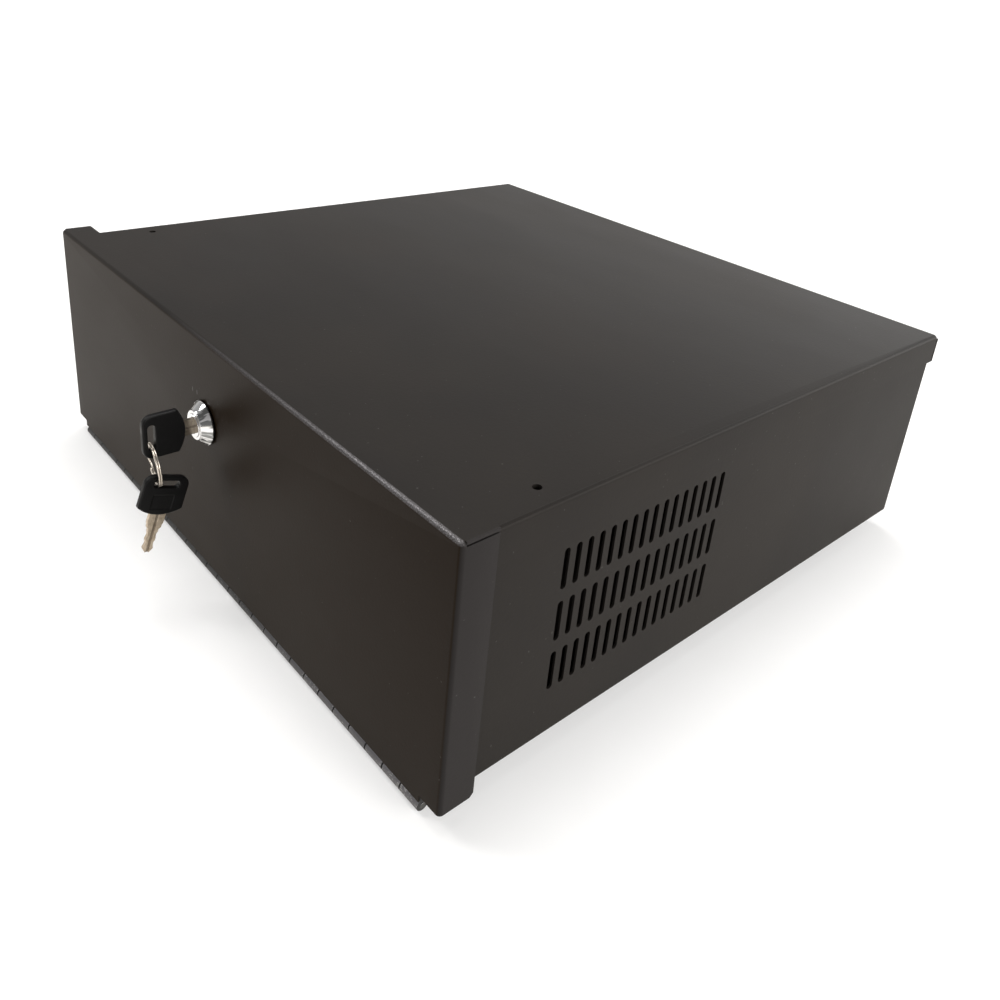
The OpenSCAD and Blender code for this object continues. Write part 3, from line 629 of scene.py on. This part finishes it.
def softened(node: str, name: str, width: float, segments: int = 2) -> bpy.types.Object:
    """A merged copy of a CAD node whose cut edges are rounded as a coat or a tumbler rounds them.

    Args:
        node: the CAD node.
        name: the new piece's name.
        width: the rounding's width in metres.
        segments: faces across each rounding.

    Returns:
        The new piece, which stands for the node.
    """
    work = bmesh.new()
    work.from_mesh(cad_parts[node].data)
    bmesh.ops.remove_doubles(work, verts=work.verts, dist=2e-6)
    bmesh.ops.dissolve_limit(work, angle_limit=math.radians(FLAT_UNDER), verts=work.verts,
                             edges=work.edges)
    mesh = bpy.data.meshes.new(name)
    work.to_mesh(mesh)
    work.free()
    mesh.materials.clear()
    piece = smoothed(name, mesh, ROUND_FROM)
    bevel = piece.modifiers.new("rounded_edges", "BEVEL")
    bevel.width = width
    bevel.segments = segments
    bevel.limit_method = "ANGLE"
    bevel.angle_limit = math.radians(ROUND_FROM)
    bevel.use_clamp_overlap = True
    bevel.harden_normals = True
    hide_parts(node)
    return piece


def ride_on(piece: bpy.types.Object, body: str, material: bpy.types.Material) -> None:
    """Dresses a finished piece and sets it on its body.

    Args:
        piece: the piece.
        body: the CAD body that carries it.
        material: its finish.
    """
    piece.data.materials.clear()
    piece.data.materials.append(material)
    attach(piece, body)
    log.info("%s rides on %s in %s", piece.name, body, material.name)


# ---- sub-assemblies


@dataclass
class Cabinet:
    """The folded case: base tray, rear wall and lid, with the coat rounding every cut edge."""

    coat: bpy.types.Material
    lid_coat: bpy.types.Material
    edge: float = 0.22 * MM

    def build(self) -> None:
        """Makes the three shells."""
        for node, name, coat in (("base_tray", "base_tray_shell", self.coat),
                                 ("back_panel", "rear_wall_shell", self.coat),
                                 ("top_cover", "lid_shell", self.lid_coat)):
            ride_on(softened(node, name, self.edge), "case", coat)


@dataclass
class Door:
    """The drop-down door's folded front."""

    coat: bpy.types.Material
    edge: float = 0.22 * MM

    def build(self) -> None:
        """Makes the door's shell."""
        ride_on(softened("door_panel", "door_shell", self.edge), "door", self.coat)


@dataclass
class Hinge:
    """The continuous hinge: two leaves with rolled knuckles, and the wire through them."""

    steel: bpy.types.Material
    wire: bpy.types.Material
    edge: float = 0.30 * MM
    wire_edge: float = 0.4 * MM

    def build(self) -> None:
        """Makes both leaves and the pin with its rounded ends."""
        ride_on(softened("door_hinge_leaf", "door_leaf_rolled", self.edge), "door",
                self.steel)
        ride_on(softened("body_hinge_leaf", "case_leaf_rolled", self.edge), "case",
                self.steel)
        ride_on(softened("hinge_pin", "hinge_wire", self.wire_edge), "case",
                self.wire)


@dataclass
class CamLock:
    """The cam lock: threaded housing with its conical head, plug, nut, washer, disc, cam, screw."""

    chrome: bpy.types.Material
    zinc: bpy.types.Material
    head_h: float = 6.0 * MM
    head_r: float = 11.5 * MM
    face_r: float = 7.7 * MM
    rim: float = 1.0 * MM
    body_r: float = 9.5 * MM
    flats: float = 16.6 * MM
    body_l: float = 12.5 * MM
    bore_r: float = 6.05 * MM
    neck_r: float = 5.55 * MM
    front_l: float = 2.5 * MM
    pitch: float = 1.0 * MM
    thread: float = 0.55 * MM
    peg_at: float = 7.9 * MM
    peg_r: float = 0.8 * MM
    peg_l: float = 0.85 * MM
    peg_sunk: float = 0.3 * MM
    peg_bevel: float = 0.12 * MM
    base_round: float = 0.25 * MM
    rim_round: float = 0.3 * MM
    cone_gap: float = 0.05 * MM
    crown: float = 0.12 * MM
    face_round: float = 0.4 * MM
    bore_bevel: float = 0.2 * MM
    run_in: float = 0.8 * MM
    rings: int = 110
    around: int = 128

    def _profile(self) -> np.ndarray:
        """The head's outline as (distance behind the door's front face, radius) pairs.

        It holds a rounded base, a straight rim with a fine lip in front, a slightly crowned
        cone, a rounded edge, the flat face and the stepped bore.
        """
        turn = np.linspace(0.0, 1.0, 7) * math.pi / 2
        fall, climb = 1 - np.cos(turn), 1 - np.sin(turn)
        cone = np.linspace(0.0, 1.0, 9)
        cone_from, cone_r = self.rim + self.rim_round + self.cone_gap, self.head_r - self.rim_round
        cone_l = self.head_h - self.face_round - cone_from
        base = np.stack([-self.base_round * fall, self.head_r - self.base_round * climb], 1)
        lip = np.stack([-self.rim - self.rim_round * climb, self.head_r - self.rim_round * fall], 1)
        slope = np.stack([-cone_from - cone * cone_l, cone_r + cone * (self.face_r - cone_r)
                          + self.crown * np.sin(cone * math.pi)], 1)
        edge = np.stack([-self.head_h + self.face_round * climb,
                         self.face_r - self.face_round * fall], 1)
        face = np.array([[-self.head_h, self.bore_r + self.bore_bevel],
                         [-self.head_h + self.bore_bevel, self.bore_r],
                         [-self.head_h + self.front_l, self.bore_r],
                         [-self.head_h + self.front_l, self.neck_r],
                         [self.body_l, self.neck_r]])
        return np.concatenate([base, lip, slope, edge, face])

    def housing(self) -> bpy.types.Object:
        """The housing as one closed surface turned about the lock's axis.

        The rear part's radius falls below the body's by the thread's depth, less a triangle
        wave of the distance over the pitch less the turn, which makes a true helix; it fades out
        at the body's end. The flats then cut it at a fixed distance from the middle.

        Returns:
            The piece, which stands for the housing's node.
        """
        turn = np.arange(self.around) / self.around * 2 * math.pi
        head = self._profile()
        steps = np.linspace(self.body_l, 0.0, self.rings)
        wave = np.abs(((steps[:, None] / self.pitch - turn[None] / (2 * math.pi)) % 1.0) - 0.5) * 2
        fade = ease((self.body_l - steps) / self.run_in)[:, None]
        body = round_axis(self.body_r - self.thread * (1 - fade * wave), steps[:, None], turn)
        body[..., 0] = np.clip(body[..., 0], -self.flats / 2, self.flats / 2)
        shell = round_axis(head[:, 1:], head[:, :1], turn)
        points = np.concatenate([shell, body]) + [0.0, DOOR_FRONT, LOCK_Z]
        faces = grid_faces(len(points), self.around, True, True)
        peg_points, peg_faces = self._peg(len(points) * self.around)
        piece = put_mesh("lock_housing_turned",
                         np.concatenate([points.reshape(-1, 3), peg_points]),
                         faces.tolist() + peg_faces)
        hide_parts("lock_housing")
        return piece

    def _peg(self, first: int) -> tuple[np.ndarray, list]:
        """The stop peg behind the body, halfway through the lock's turn.

        Args:
            first: the number of the peg's first point.

        Returns:
            Its points and faces: a small closed cylinder.
        """
        count = 20
        turn = np.arange(count) / count * 2 * math.pi
        centre = round_axis(self.peg_at, 0.0, math.radians(-45))
        tip = self.body_l + self.peg_l
        rows = [round_axis(r, y, turn) + centre
                for y, r in ((self.body_l - self.peg_sunk, self.peg_r),
                             (tip - self.peg_bevel, self.peg_r), (tip, self.peg_r * 0.8))]
        points = np.concatenate(rows) + [0.0, DOOR_FRONT, LOCK_Z]
        faces = (grid_faces(3, count, False, True) + first).tolist()
        faces += [list(range(first, first + count)),
                  list(range(first + 3 * count - 1, first + 2 * count - 1, -1))]
        return points, faces

    def build(self) -> None:
        """Makes every piece of the lock."""
        ride_on(self.housing(), "door", self.chrome)
        ride_on(softened("lock_washer", "lock_washer_toothed", 0.08 * MM), "door",
                self.zinc)
        ride_on(softened("lock_nut", "lock_nut_hex", 0.3 * MM), "door", self.zinc)
        ride_on(softened("lock_plug", "lock_plug_turned", 0.15 * MM), "lock_core",
                self.chrome)
        for node, name, edge in (("stop_disc", "stop_disc_pressed", 0.12 * MM),
                                 ("lock_cam", "lock_cam_pressed", 0.25 * MM),
                                 ("cam_screw", "cam_screw_head", 0.15 * MM)):
            ride_on(softened(node, name, edge), "lock_core", self.zinc)


@dataclass
class MouldedBow:
    """The plastic bow of a key, as one closed surface round its slot."""

    node: str
    name: str
    body: str
    plastic: bpy.types.Material
    origin: Spot
    tilt: float
    length: float = 21.0 * MM
    height: float = 23.0 * MM
    thick: float = 3.4 * MM
    corner: float = 5.0 * MM
    nose: float = 20.0 * MM
    slot_l: float = 13.4 * MM
    slot_w: float = 3.8 * MM
    slot_edge: float = 4.3 * MM
    slot_round: float = 0.45 * MM
    round_over: float = 0.75 * MM
    panel: tuple[float, float, float, float] = (-11.2 * MM, -3.0 * MM, -5.6 * MM, 5.6 * MM)
    panel_depth: float = 0.0
    panel_step: float = 0.35 * MM
    bound: float = 40.0 * MM
    crowding: float = 0.18
    face_steps: int = 45
    around: int = 288

    def _at(self, turn: np.ndarray, radius: np.ndarray) -> tuple[np.ndarray, np.ndarray]:
        """X and Y at a distance from the slot's middle."""
        return self.slot_edge - self.length + radius * np.cos(turn), radius * np.sin(turn)

    def _outline(self, turn: np.ndarray, inset: float) -> np.ndarray:
        """Distance from the slot's middle to the bow's outline in each direction.

        The outline is the nearer of two bounds, the rounded rectangle and the nose circle. It is
        found by halving the distance until it lies on the edge.
        """
        low, high = np.zeros_like(turn), np.full_like(turn, self.bound)
        for _ in range(40):
            half = (low + high) / 2
            x, y = self._at(turn, half)
            dx = np.maximum(-x - (self.length - self.corner), 0.0)
            dy = np.maximum(np.abs(y) - (self.height / 2 - self.corner), 0.0)
            inside = ((np.hypot(dx, dy) <= self.corner - inset)
                      & (np.hypot(x + self.nose, y) <= self.nose - inset))
            low, high = np.where(inside, half, low), np.where(inside, high, half)
        return (low + high) / 2

    def _slot(self, turn: np.ndarray, grow: float) -> np.ndarray:
        """Distance from the slot's middle to its edge: a bar with round ends, grown by grow."""
        r = self.slot_w / 2 + grow
        reach = (self.slot_l - self.slot_w) / 2
        side = r / np.maximum(np.abs(np.cos(turn)), 1e-9)
        along = np.abs(np.sin(turn))
        end = reach * along + np.sqrt(np.maximum(r * r - (reach * np.cos(turn)) ** 2, 0.0))
        return np.where(side * along <= reach, side, end)

    def build(self) -> None:
        """Makes the bow, which stands for its node, and sets it on its body.

        A closed path runs over the front face from the outer edge to the slot, through the slot
        and back over the rear face; carried round the slot it gives the whole body. Both edges
        are quarter circles, and the faces sink by a smooth step inside the plain panel.
        """
        turn = np.arange(self.around) / self.around * 2 * math.pi
        turn = turn + self.crowding * np.sin(2 * turn)
        quarter = np.linspace(0.0, math.pi / 2, 6)
        edge_r, slot_r = self.round_over, self.slot_round
        rows: list[np.ndarray] = []

        def row(radius: np.ndarray, z: np.ndarray | float) -> None:
            """Adds one closed loop at a distance from the slot's middle and a height."""
            x, y = self._at(turn, radius)
            rows.append(np.stack([x, y, np.broadcast_to(z, x.shape)], 1))

        half = self.thick / 2
        for a in quarter:
            row(self._outline(turn, edge_r * (1 - math.cos(a))),
                half - edge_r + edge_r * math.sin(a))
        outer, inner = self._outline(turn, edge_r), self._slot(turn, slot_r)
        for share in np.linspace(0.0, 1.0, self.face_steps + 1)[1:-1]:
            radius = outer + (inner - outer) * share
            row(radius, half - self._sink(*self._at(turn, radius)))
        for a in quarter[::-1]:
            row(self._slot(turn, slot_r * (1 - math.cos(a))),
                half - slot_r + slot_r * math.sin(a))
        front = np.array(rows)
        back = front[::-1] * [1.0, 1.0, -1.0]
        points = np.concatenate([front, back])
        faces = grid_faces(len(points), self.around, True, True)
        piece = put_mesh(self.name, self._placed(points.reshape(-1, 3)), faces)
        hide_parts(self.node)
        ride_on(piece, self.body, self.plastic)

    def _sink(self, x: np.ndarray, y: np.ndarray) -> np.ndarray:
        """How far the plain panel lies below the face: a smooth step on each of its four sides."""
        x0, x1, y0, y1 = self.panel
        step = self.panel_step
        inside = (ease((x - x0) / step) * ease((x1 - x) / step)
                  * ease((y - y0) / step) * ease((y1 - y) / step))
        return self.panel_depth * inside

    def _placed(self, points: np.ndarray) -> np.ndarray:
        """Turns the bow's own X, Y and Z into the box's: backwards, up and across, then tilts."""
        x, y, z = points[:, 2], points[:, 0], points[:, 1]
        c, s = math.cos(self.tilt), math.sin(self.tilt)
        return np.stack([x, c * y - s * z, s * y + c * z], 1) + self.origin


@dataclass
class SplitRing:
    """The split ring: two turns of flattened wire side by side, with one slanted crossing."""

    steel: bpy.types.Material
    top: Spot = (0.0, -214.6 * MM, 78.1 * MM)
    radius: float = 10.3 * MM
    yaw: float = math.radians(-8)
    lean: float = math.radians(5)
    wire_w: float = 0.86 * MM
    wire_h: float = 1.70 * MM
    play: float = 0.04 * MM
    squareness: float = 3.2
    crossing: float = math.radians(34)
    start: float = math.radians(200)
    count: int = 260
    around: int = 20
    taper: int = 4

    def build(self) -> None:
        """Carries a rounded flat section along two turns.

        The section's centre moves on a circle; its place along the ring's axis goes from half a
        wire on one side to half a wire on the other by a smooth step in the crossing. The ends
        shrink to a rounded point.
        """
        count, around = self.count, self.around
        a = np.linspace(self.crossing / 2, 4 * math.pi - self.crossing / 2, count)
        side = -0.5 + ease((a - (2 * math.pi - self.crossing / 2)) / self.crossing)
        size = np.minimum(np.arange(count), np.arange(count)[::-1]) / self.taper
        size = np.sqrt(np.clip(1 - (1 - np.clip(size, 0, 1)) ** 2, 0.002, 1))
        u = np.arange(around) / around * 2 * math.pi
        power = 2.0 / self.squareness
        across = np.sign(np.cos(u)) * np.abs(np.cos(u)) ** power * self.wire_w / 2
        out = np.sign(np.sin(u)) * np.abs(np.sin(u)) ** power * self.wire_h / 2
        radial = self.radius + out[None] * size[:, None]
        axial = (side * (self.wire_w + self.play))[:, None] + across[None] * size[:, None]
        angle = (a + self.start)[:, None]
        x, z = radial * np.cos(angle), radial * np.sin(angle)
        c, s = math.cos(self.yaw), math.sin(self.yaw)
        y, z = x * s + axial * c, z - self.radius
        lean_c, lean_s = math.cos(self.lean), math.sin(self.lean)
        points = np.stack([x * c - axial * s, y * lean_c - z * lean_s, y * lean_s + z * lean_c],
                          2).reshape(-1, 3)
        caps = [points[:around].mean(0), points[-around:].mean(0)]
        points = np.concatenate([points, caps]) + self.top
        faces = grid_faces(count, around, False, True).tolist()
        last = (count - 1) * around
        faces += [[count * around, (i + 1) % around, i] for i in range(around)]
        faces += [[count * around + 1, last + i, last + (i + 1) % around] for i in range(around)]
        piece = put_mesh("split_ring_coil", points, faces)
        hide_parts("key_ring")
        ride_on(piece, "ring", self.steel)


@dataclass
class Keys:
    """Both keys with their blades, and the ring that joins them."""

    metal: bpy.types.Material
    spare_metal: bpy.types.Material
    plastic: bpy.types.Material
    ring_steel: bpy.types.Material
    key_y: float = -197.9 * MM
    ring_low: tuple[float, float] = (-212.8046 * MM, 57.5784 * MM)
    hang_x: float = 17.3 * MM
    hang_y: float = 4.8 * MM
    edge: float = 0.12 * MM
    panel_depth: float = 0.16 * MM

    def build(self) -> None:
        """Makes the inserted key, the ring and the hanging key, whose bow has the panel.

        The hanging key's bow is placed from the ring's lowest point, by the offsets of its slot.
        """
        ride_on(softened("key_blade", "key_blade_cut", self.edge), "key",
                self.metal)
        MouldedBow("key_bow", "key_bow_moulded", "key", self.plastic,
                   (0.0, self.key_y, LOCK_Z), 0.0).build()
        SplitRing(self.ring_steel).build()
        tilt = -math.pi / 2 - SPARE_LEAN
        c, s = math.cos(tilt), math.sin(tilt)
        origin = (0.0, self.ring_low[0] + c * self.hang_x - s * self.hang_y,
                  self.ring_low[1] + s * self.hang_x + c * self.hang_y)
        MouldedBow("spare_key_bow", "spare_key_bow_moulded", "spare_key", self.plastic,
                   origin, tilt, panel_depth=self.panel_depth).build()
        ride_on(softened("spare_key_blade", "spare_key_blade_cut", self.edge), "spare_key",
                self.spare_metal)


@dataclass
class Fittings:
    """Feet with their screws and nuts, and the grommets in the rear wall."""

    rubber: bpy.types.Material
    zinc: bpy.types.Material
    threaded: bpy.types.Material

    def build(self) -> None:
        """Makes them all with rounded edges."""
        for place in ("front_left", "front_right", "rear_left", "rear_right"):
            ride_on(softened(f"{place}_foot", f"{place}_foot_moulded", 0.9 * MM, 4), "case",
                    self.rubber)
        for place in ("left", "right"):
            ride_on(softened(f"{place}_grommet", f"{place}_grommet_moulded", 0.7 * MM, 4), "case",
                    self.rubber)
        ride_on(softened("foot_screws", "foot_screws_threaded", 0.2 * MM), "case",
                self.threaded)
        ride_on(softened("foot_nuts", "foot_nuts_hex", 0.25 * MM), "case", self.zinc)


# ---- studio


def placing(right: Spot, up: Spot, back: Spot, spot: Spot) -> Matrix:
    """The matrix of a lamp or a camera from its three axes and its spot."""
    matrix = Matrix((right, up, back)).transposed().to_4x4()
    matrix.translation = spot
    return matrix


@dataclass
class Softbox:
    """One area lamp that looks at a point on the box."""

    name: str
    spot: Spot
    size: tuple[float, float]
    watts: float
    colour: Colour = PAPER_WHITE
    aim: Spot = (0.0, 0.0, 0.06)

    def build(self) -> None:
        """Makes the lamp."""
        lamp = bpy.data.lights.new(self.name, "AREA")
        lamp.shape = "RECTANGLE"
        lamp.size, lamp.size_y = self.size
        lamp.energy = self.watts
        lamp.color = self.colour
        away = np.subtract(self.spot, self.aim)
        away = away / np.linalg.norm(away)
        right = np.cross([0.0, 0.0, 1.0], away)
        right = right / np.linalg.norm(right)
        up = np.cross(away, right)
        linked(self.name, lamp).matrix_world = placing(
            right.tolist(), up.tolist(), away.tolist(), self.spot)


@dataclass
class Studio:
    """Pale floor, plain backdrop light, softboxes and the camera at the photograph's angle.

    Attributes:
        floor_z, floor_reach: the floor's height and half its width.
        floor_tones: the paper's two tones.
        floor_warm: the tone of its glow in reflections.
        glow, glow_far, glow_reach: the floor's glow near the box, what is added far from it, and
            the distances over which that is added.
        lens_px, photo_px, sensor_mm: focal length and width of the picture in pixels, and the
            sensor's width.
        centre_px: where the lens's axis meets the picture.
        spot, right, up, back: the camera's place and axes.
        ambient, haze, haze_side, haze_top: strengths of the surround: everywhere, round the
            horizon, added on the bright side, and how high up the horizon's share reaches.
        bright_side: the direction of the bright side.
        softboxes: the lamps.
    """

    floor_z: float = -11.0 * MM
    floor_reach: float = 16.0
    floor_tones: tuple[Colour, Colour] = ((0.55, 0.55, 0.55), (0.58, 0.58, 0.58))
    floor_warm: Colour = (1.0, 0.93, 0.82)
    glow: float = 0.38
    glow_far: float = 0.60
    glow_reach: tuple[float, float] = (0.55, 1.6)
    lens_px: float = 920.0
    photo_px: float = 1000.0
    sensor_mm: float = 36.0
    centre_px: tuple[float, float] = (508.37, 334.74)
    spot: Spot = (0.3895, -0.3600, 0.3133)
    right: Spot = (0.6631, 0.7429, 0.0914)
    up: Spot = (-0.3441, 0.1942, 0.9186)
    back: Spot = (0.6647, -0.6406, 0.3844)
    ambient: float = 0.30
    haze: float = 0.25
    haze_side: float = 3.90
    haze_top: float = 0.70
    bright_side: tuple[float, float] = (0.35, 0.94)
    softboxes: list[Softbox] = field(default_factory=lambda: [
        Softbox("top_softbox", spot=(-0.25, 0.10, 1.60), size=(1.0, 1.0), watts=26.0),
        Softbox("side_softbox", spot=(1.55, 0.05, 0.60), size=(0.9, 0.7), watts=22.0),
        Softbox("fold_softbox", spot=(-0.62, -0.68, 0.90), size=(0.36, 0.30), watts=6.0),
    ])

    def camera(self) -> None:
        """Sets the camera from its axes, with the sensor shift that the photograph's crop needs."""
        lens = bpy.data.cameras.new("photo_camera")
        lens.sensor_width = self.sensor_mm
        lens.lens = self.lens_px * self.sensor_mm / self.photo_px
        lens.shift_x = 0.5 - self.centre_px[0] / self.photo_px
        lens.shift_y = self.centre_px[1] / self.photo_px - 0.5
        lens.clip_start, lens.clip_end = 0.01, 50.0
        eye = linked("photo_camera", lens)
        eye.matrix_world = placing(self.right, self.up, self.back, self.spot)
        bpy.context.scene.camera = eye

    def floor(self) -> None:
        """A wide pale floor that keeps the box's shadow and shows white where nothing shades it."""
        corners = np.array([[-1, -1, 0], [1, -1, 0], [1, 1, 0], [-1, 1, 0]])
        sheet = put_mesh("studio_floor", corners * self.floor_reach + [0.0, 0.0, self.floor_z],
                         [[0, 1, 2, 3]], outward=False)
        web = Surface("studio_floor_paper")
        web.set(Base_Color=web.mix(web.noise(Noise(40.0)), *self.floor_tones), Roughness=0.9)
        camera, mirrored, through = (
            web.node("ShaderNodeLightPath", output=f"Is {kind} Ray")
            for kind in ("Camera", "Glossy", "Transmission"))
        seen = (camera + mirrored + through).fold("MINIMUM", 1.0)
        x, y, _ = web.axes()
        far = ((x * x + y * y) ** 0.5).step(*self.glow_reach)
        tone = web.mix(mirrored, (1.0, 1.0, 1.0), self.floor_warm)
        web.set(Emission_Color=web.mix(self.glow + far * self.glow_far, (0.0, 0.0, 0.0), tone),
                Emission_Strength=seen)
        sheet.data.materials.append(web.material)

    def world(self) -> None:
        """A pale surround that is brightest along the horizon and at the rear right.

        The level is a base plus a bell over the height of the look, plus a share that follows
        the fourth power of the closeness to the bright side.
        """
        world = bpy.data.worlds.new("studio_surround")
        bpy.context.scene.world = world
        world.use_nodes = True
        back = world.node_tree.nodes["Background"]
        web = Web(world.node_tree)
        x, y, z = web.axes(web.node("ShaderNodeTexCoord", output="Generated"))
        low = z.fold("ABSOLUTE").step(self.haze_top, 0.0)
        side = (x * self.bright_side[0] + y * self.bright_side[1]) * 0.5 + 0.5
        level = self.ambient + low * (self.haze + side ** 4.0 * self.haze_side)
        web.feed(back.inputs["Color"], PAPER_WHITE)
        web.feed(back.inputs["Strength"], level)

    def build(self) -> None:
        """Makes the whole studio."""
        self.camera()
        self.floor()
        self.world()
        for softbox in self.softboxes:
            softbox.build()
        bpy.context.scene.view_settings.view_transform = "Standard"


# ---- main


def main() -> None:
    """Builds the studio, then each sub-assembly in order."""
    logging.basicConfig(level=logging.INFO, format="%(name)s: %(message)s")
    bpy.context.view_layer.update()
    Studio().build()
    coat = PowderCoat().build()
    # Both folded coats carry painted shade along their side folds; the door's also carries a
    # painted highlight on its upper fold, a front set darker and flanks set lighter as painted
    # light, and the pale marks, two of them painted reflections.
    lid_coat = PowderCoat("lid_powder_coat", side_x=192.3 * MM, side_z=122.5 * MM).build()
    door_coat = PowderCoat("door_powder_coat", side_x=195.8 * MM, side_y=DOOR_INNER,
                           fold_y=DOOR_INNER, fold_z=126.0 * MM, fold_r=2.2 * MM,
                           pale_marks=DOOR_PALE_MARKS).build()
    knuckles = KnuckleSteel().build()
    # The chrome gets painted dark reflections round the lock's axis and painted shade at its rim.
    chrome = PlatedMetal("lock_chrome", (0.80, 0.80, 0.81), (0.66, 0.66, 0.67), Lustre.MIRROR,
                         (1.0, 0.3, 1.0), reflection_z=LOCK_Z, rim_y=DOOR_FRONT).build()
    zinc = PlatedMetal("zinc_plate", (0.55, 0.55, 0.53), (0.40, 0.40, 0.37)).build()
    threaded = PlatedMetal("zinc_thread", (0.55, 0.55, 0.53), (0.38, 0.38, 0.35),
                           thread_pitch=0.7 * MM).build()
    wire = PlatedMetal("hinge_wire_steel", (0.12, 0.12, 0.12), (0.06, 0.06, 0.06), Lustre.DRAWN,
                       (0.1, 3.0, 3.0)).build()
    ring = PlatedMetal("ring_steel", (0.60, 0.545, 0.48), (0.46, 0.40, 0.34),
                       Lustre.BURNISHED).build()
    # Painted shade: the inserted key's nickel silver gets darker tones than the spare's, as it sits
    # in shade.
    key = KeyMetal("key_nickel_silver", (0.27, 0.235, 0.190), (0.16, 0.135, 0.105)).build()
    spare_key = KeyMetal("spare_key_nickel_silver", axis=(-213.898 * MM, 39.658 * MM),
                         angle=SPARE_LEAN - math.pi / 2).build()
    Cabinet(coat, lid_coat).build()
    Door(door_coat).build()
    Hinge(knuckles, wire).build()
    CamLock(chrome, zinc).build()
    Keys(key, spare_key, MouldedPlastic().build(), ring).build()
    Fittings(SoftRubber().build(), zinc, threaded).build()


if __name__ == "__main__":
    main()
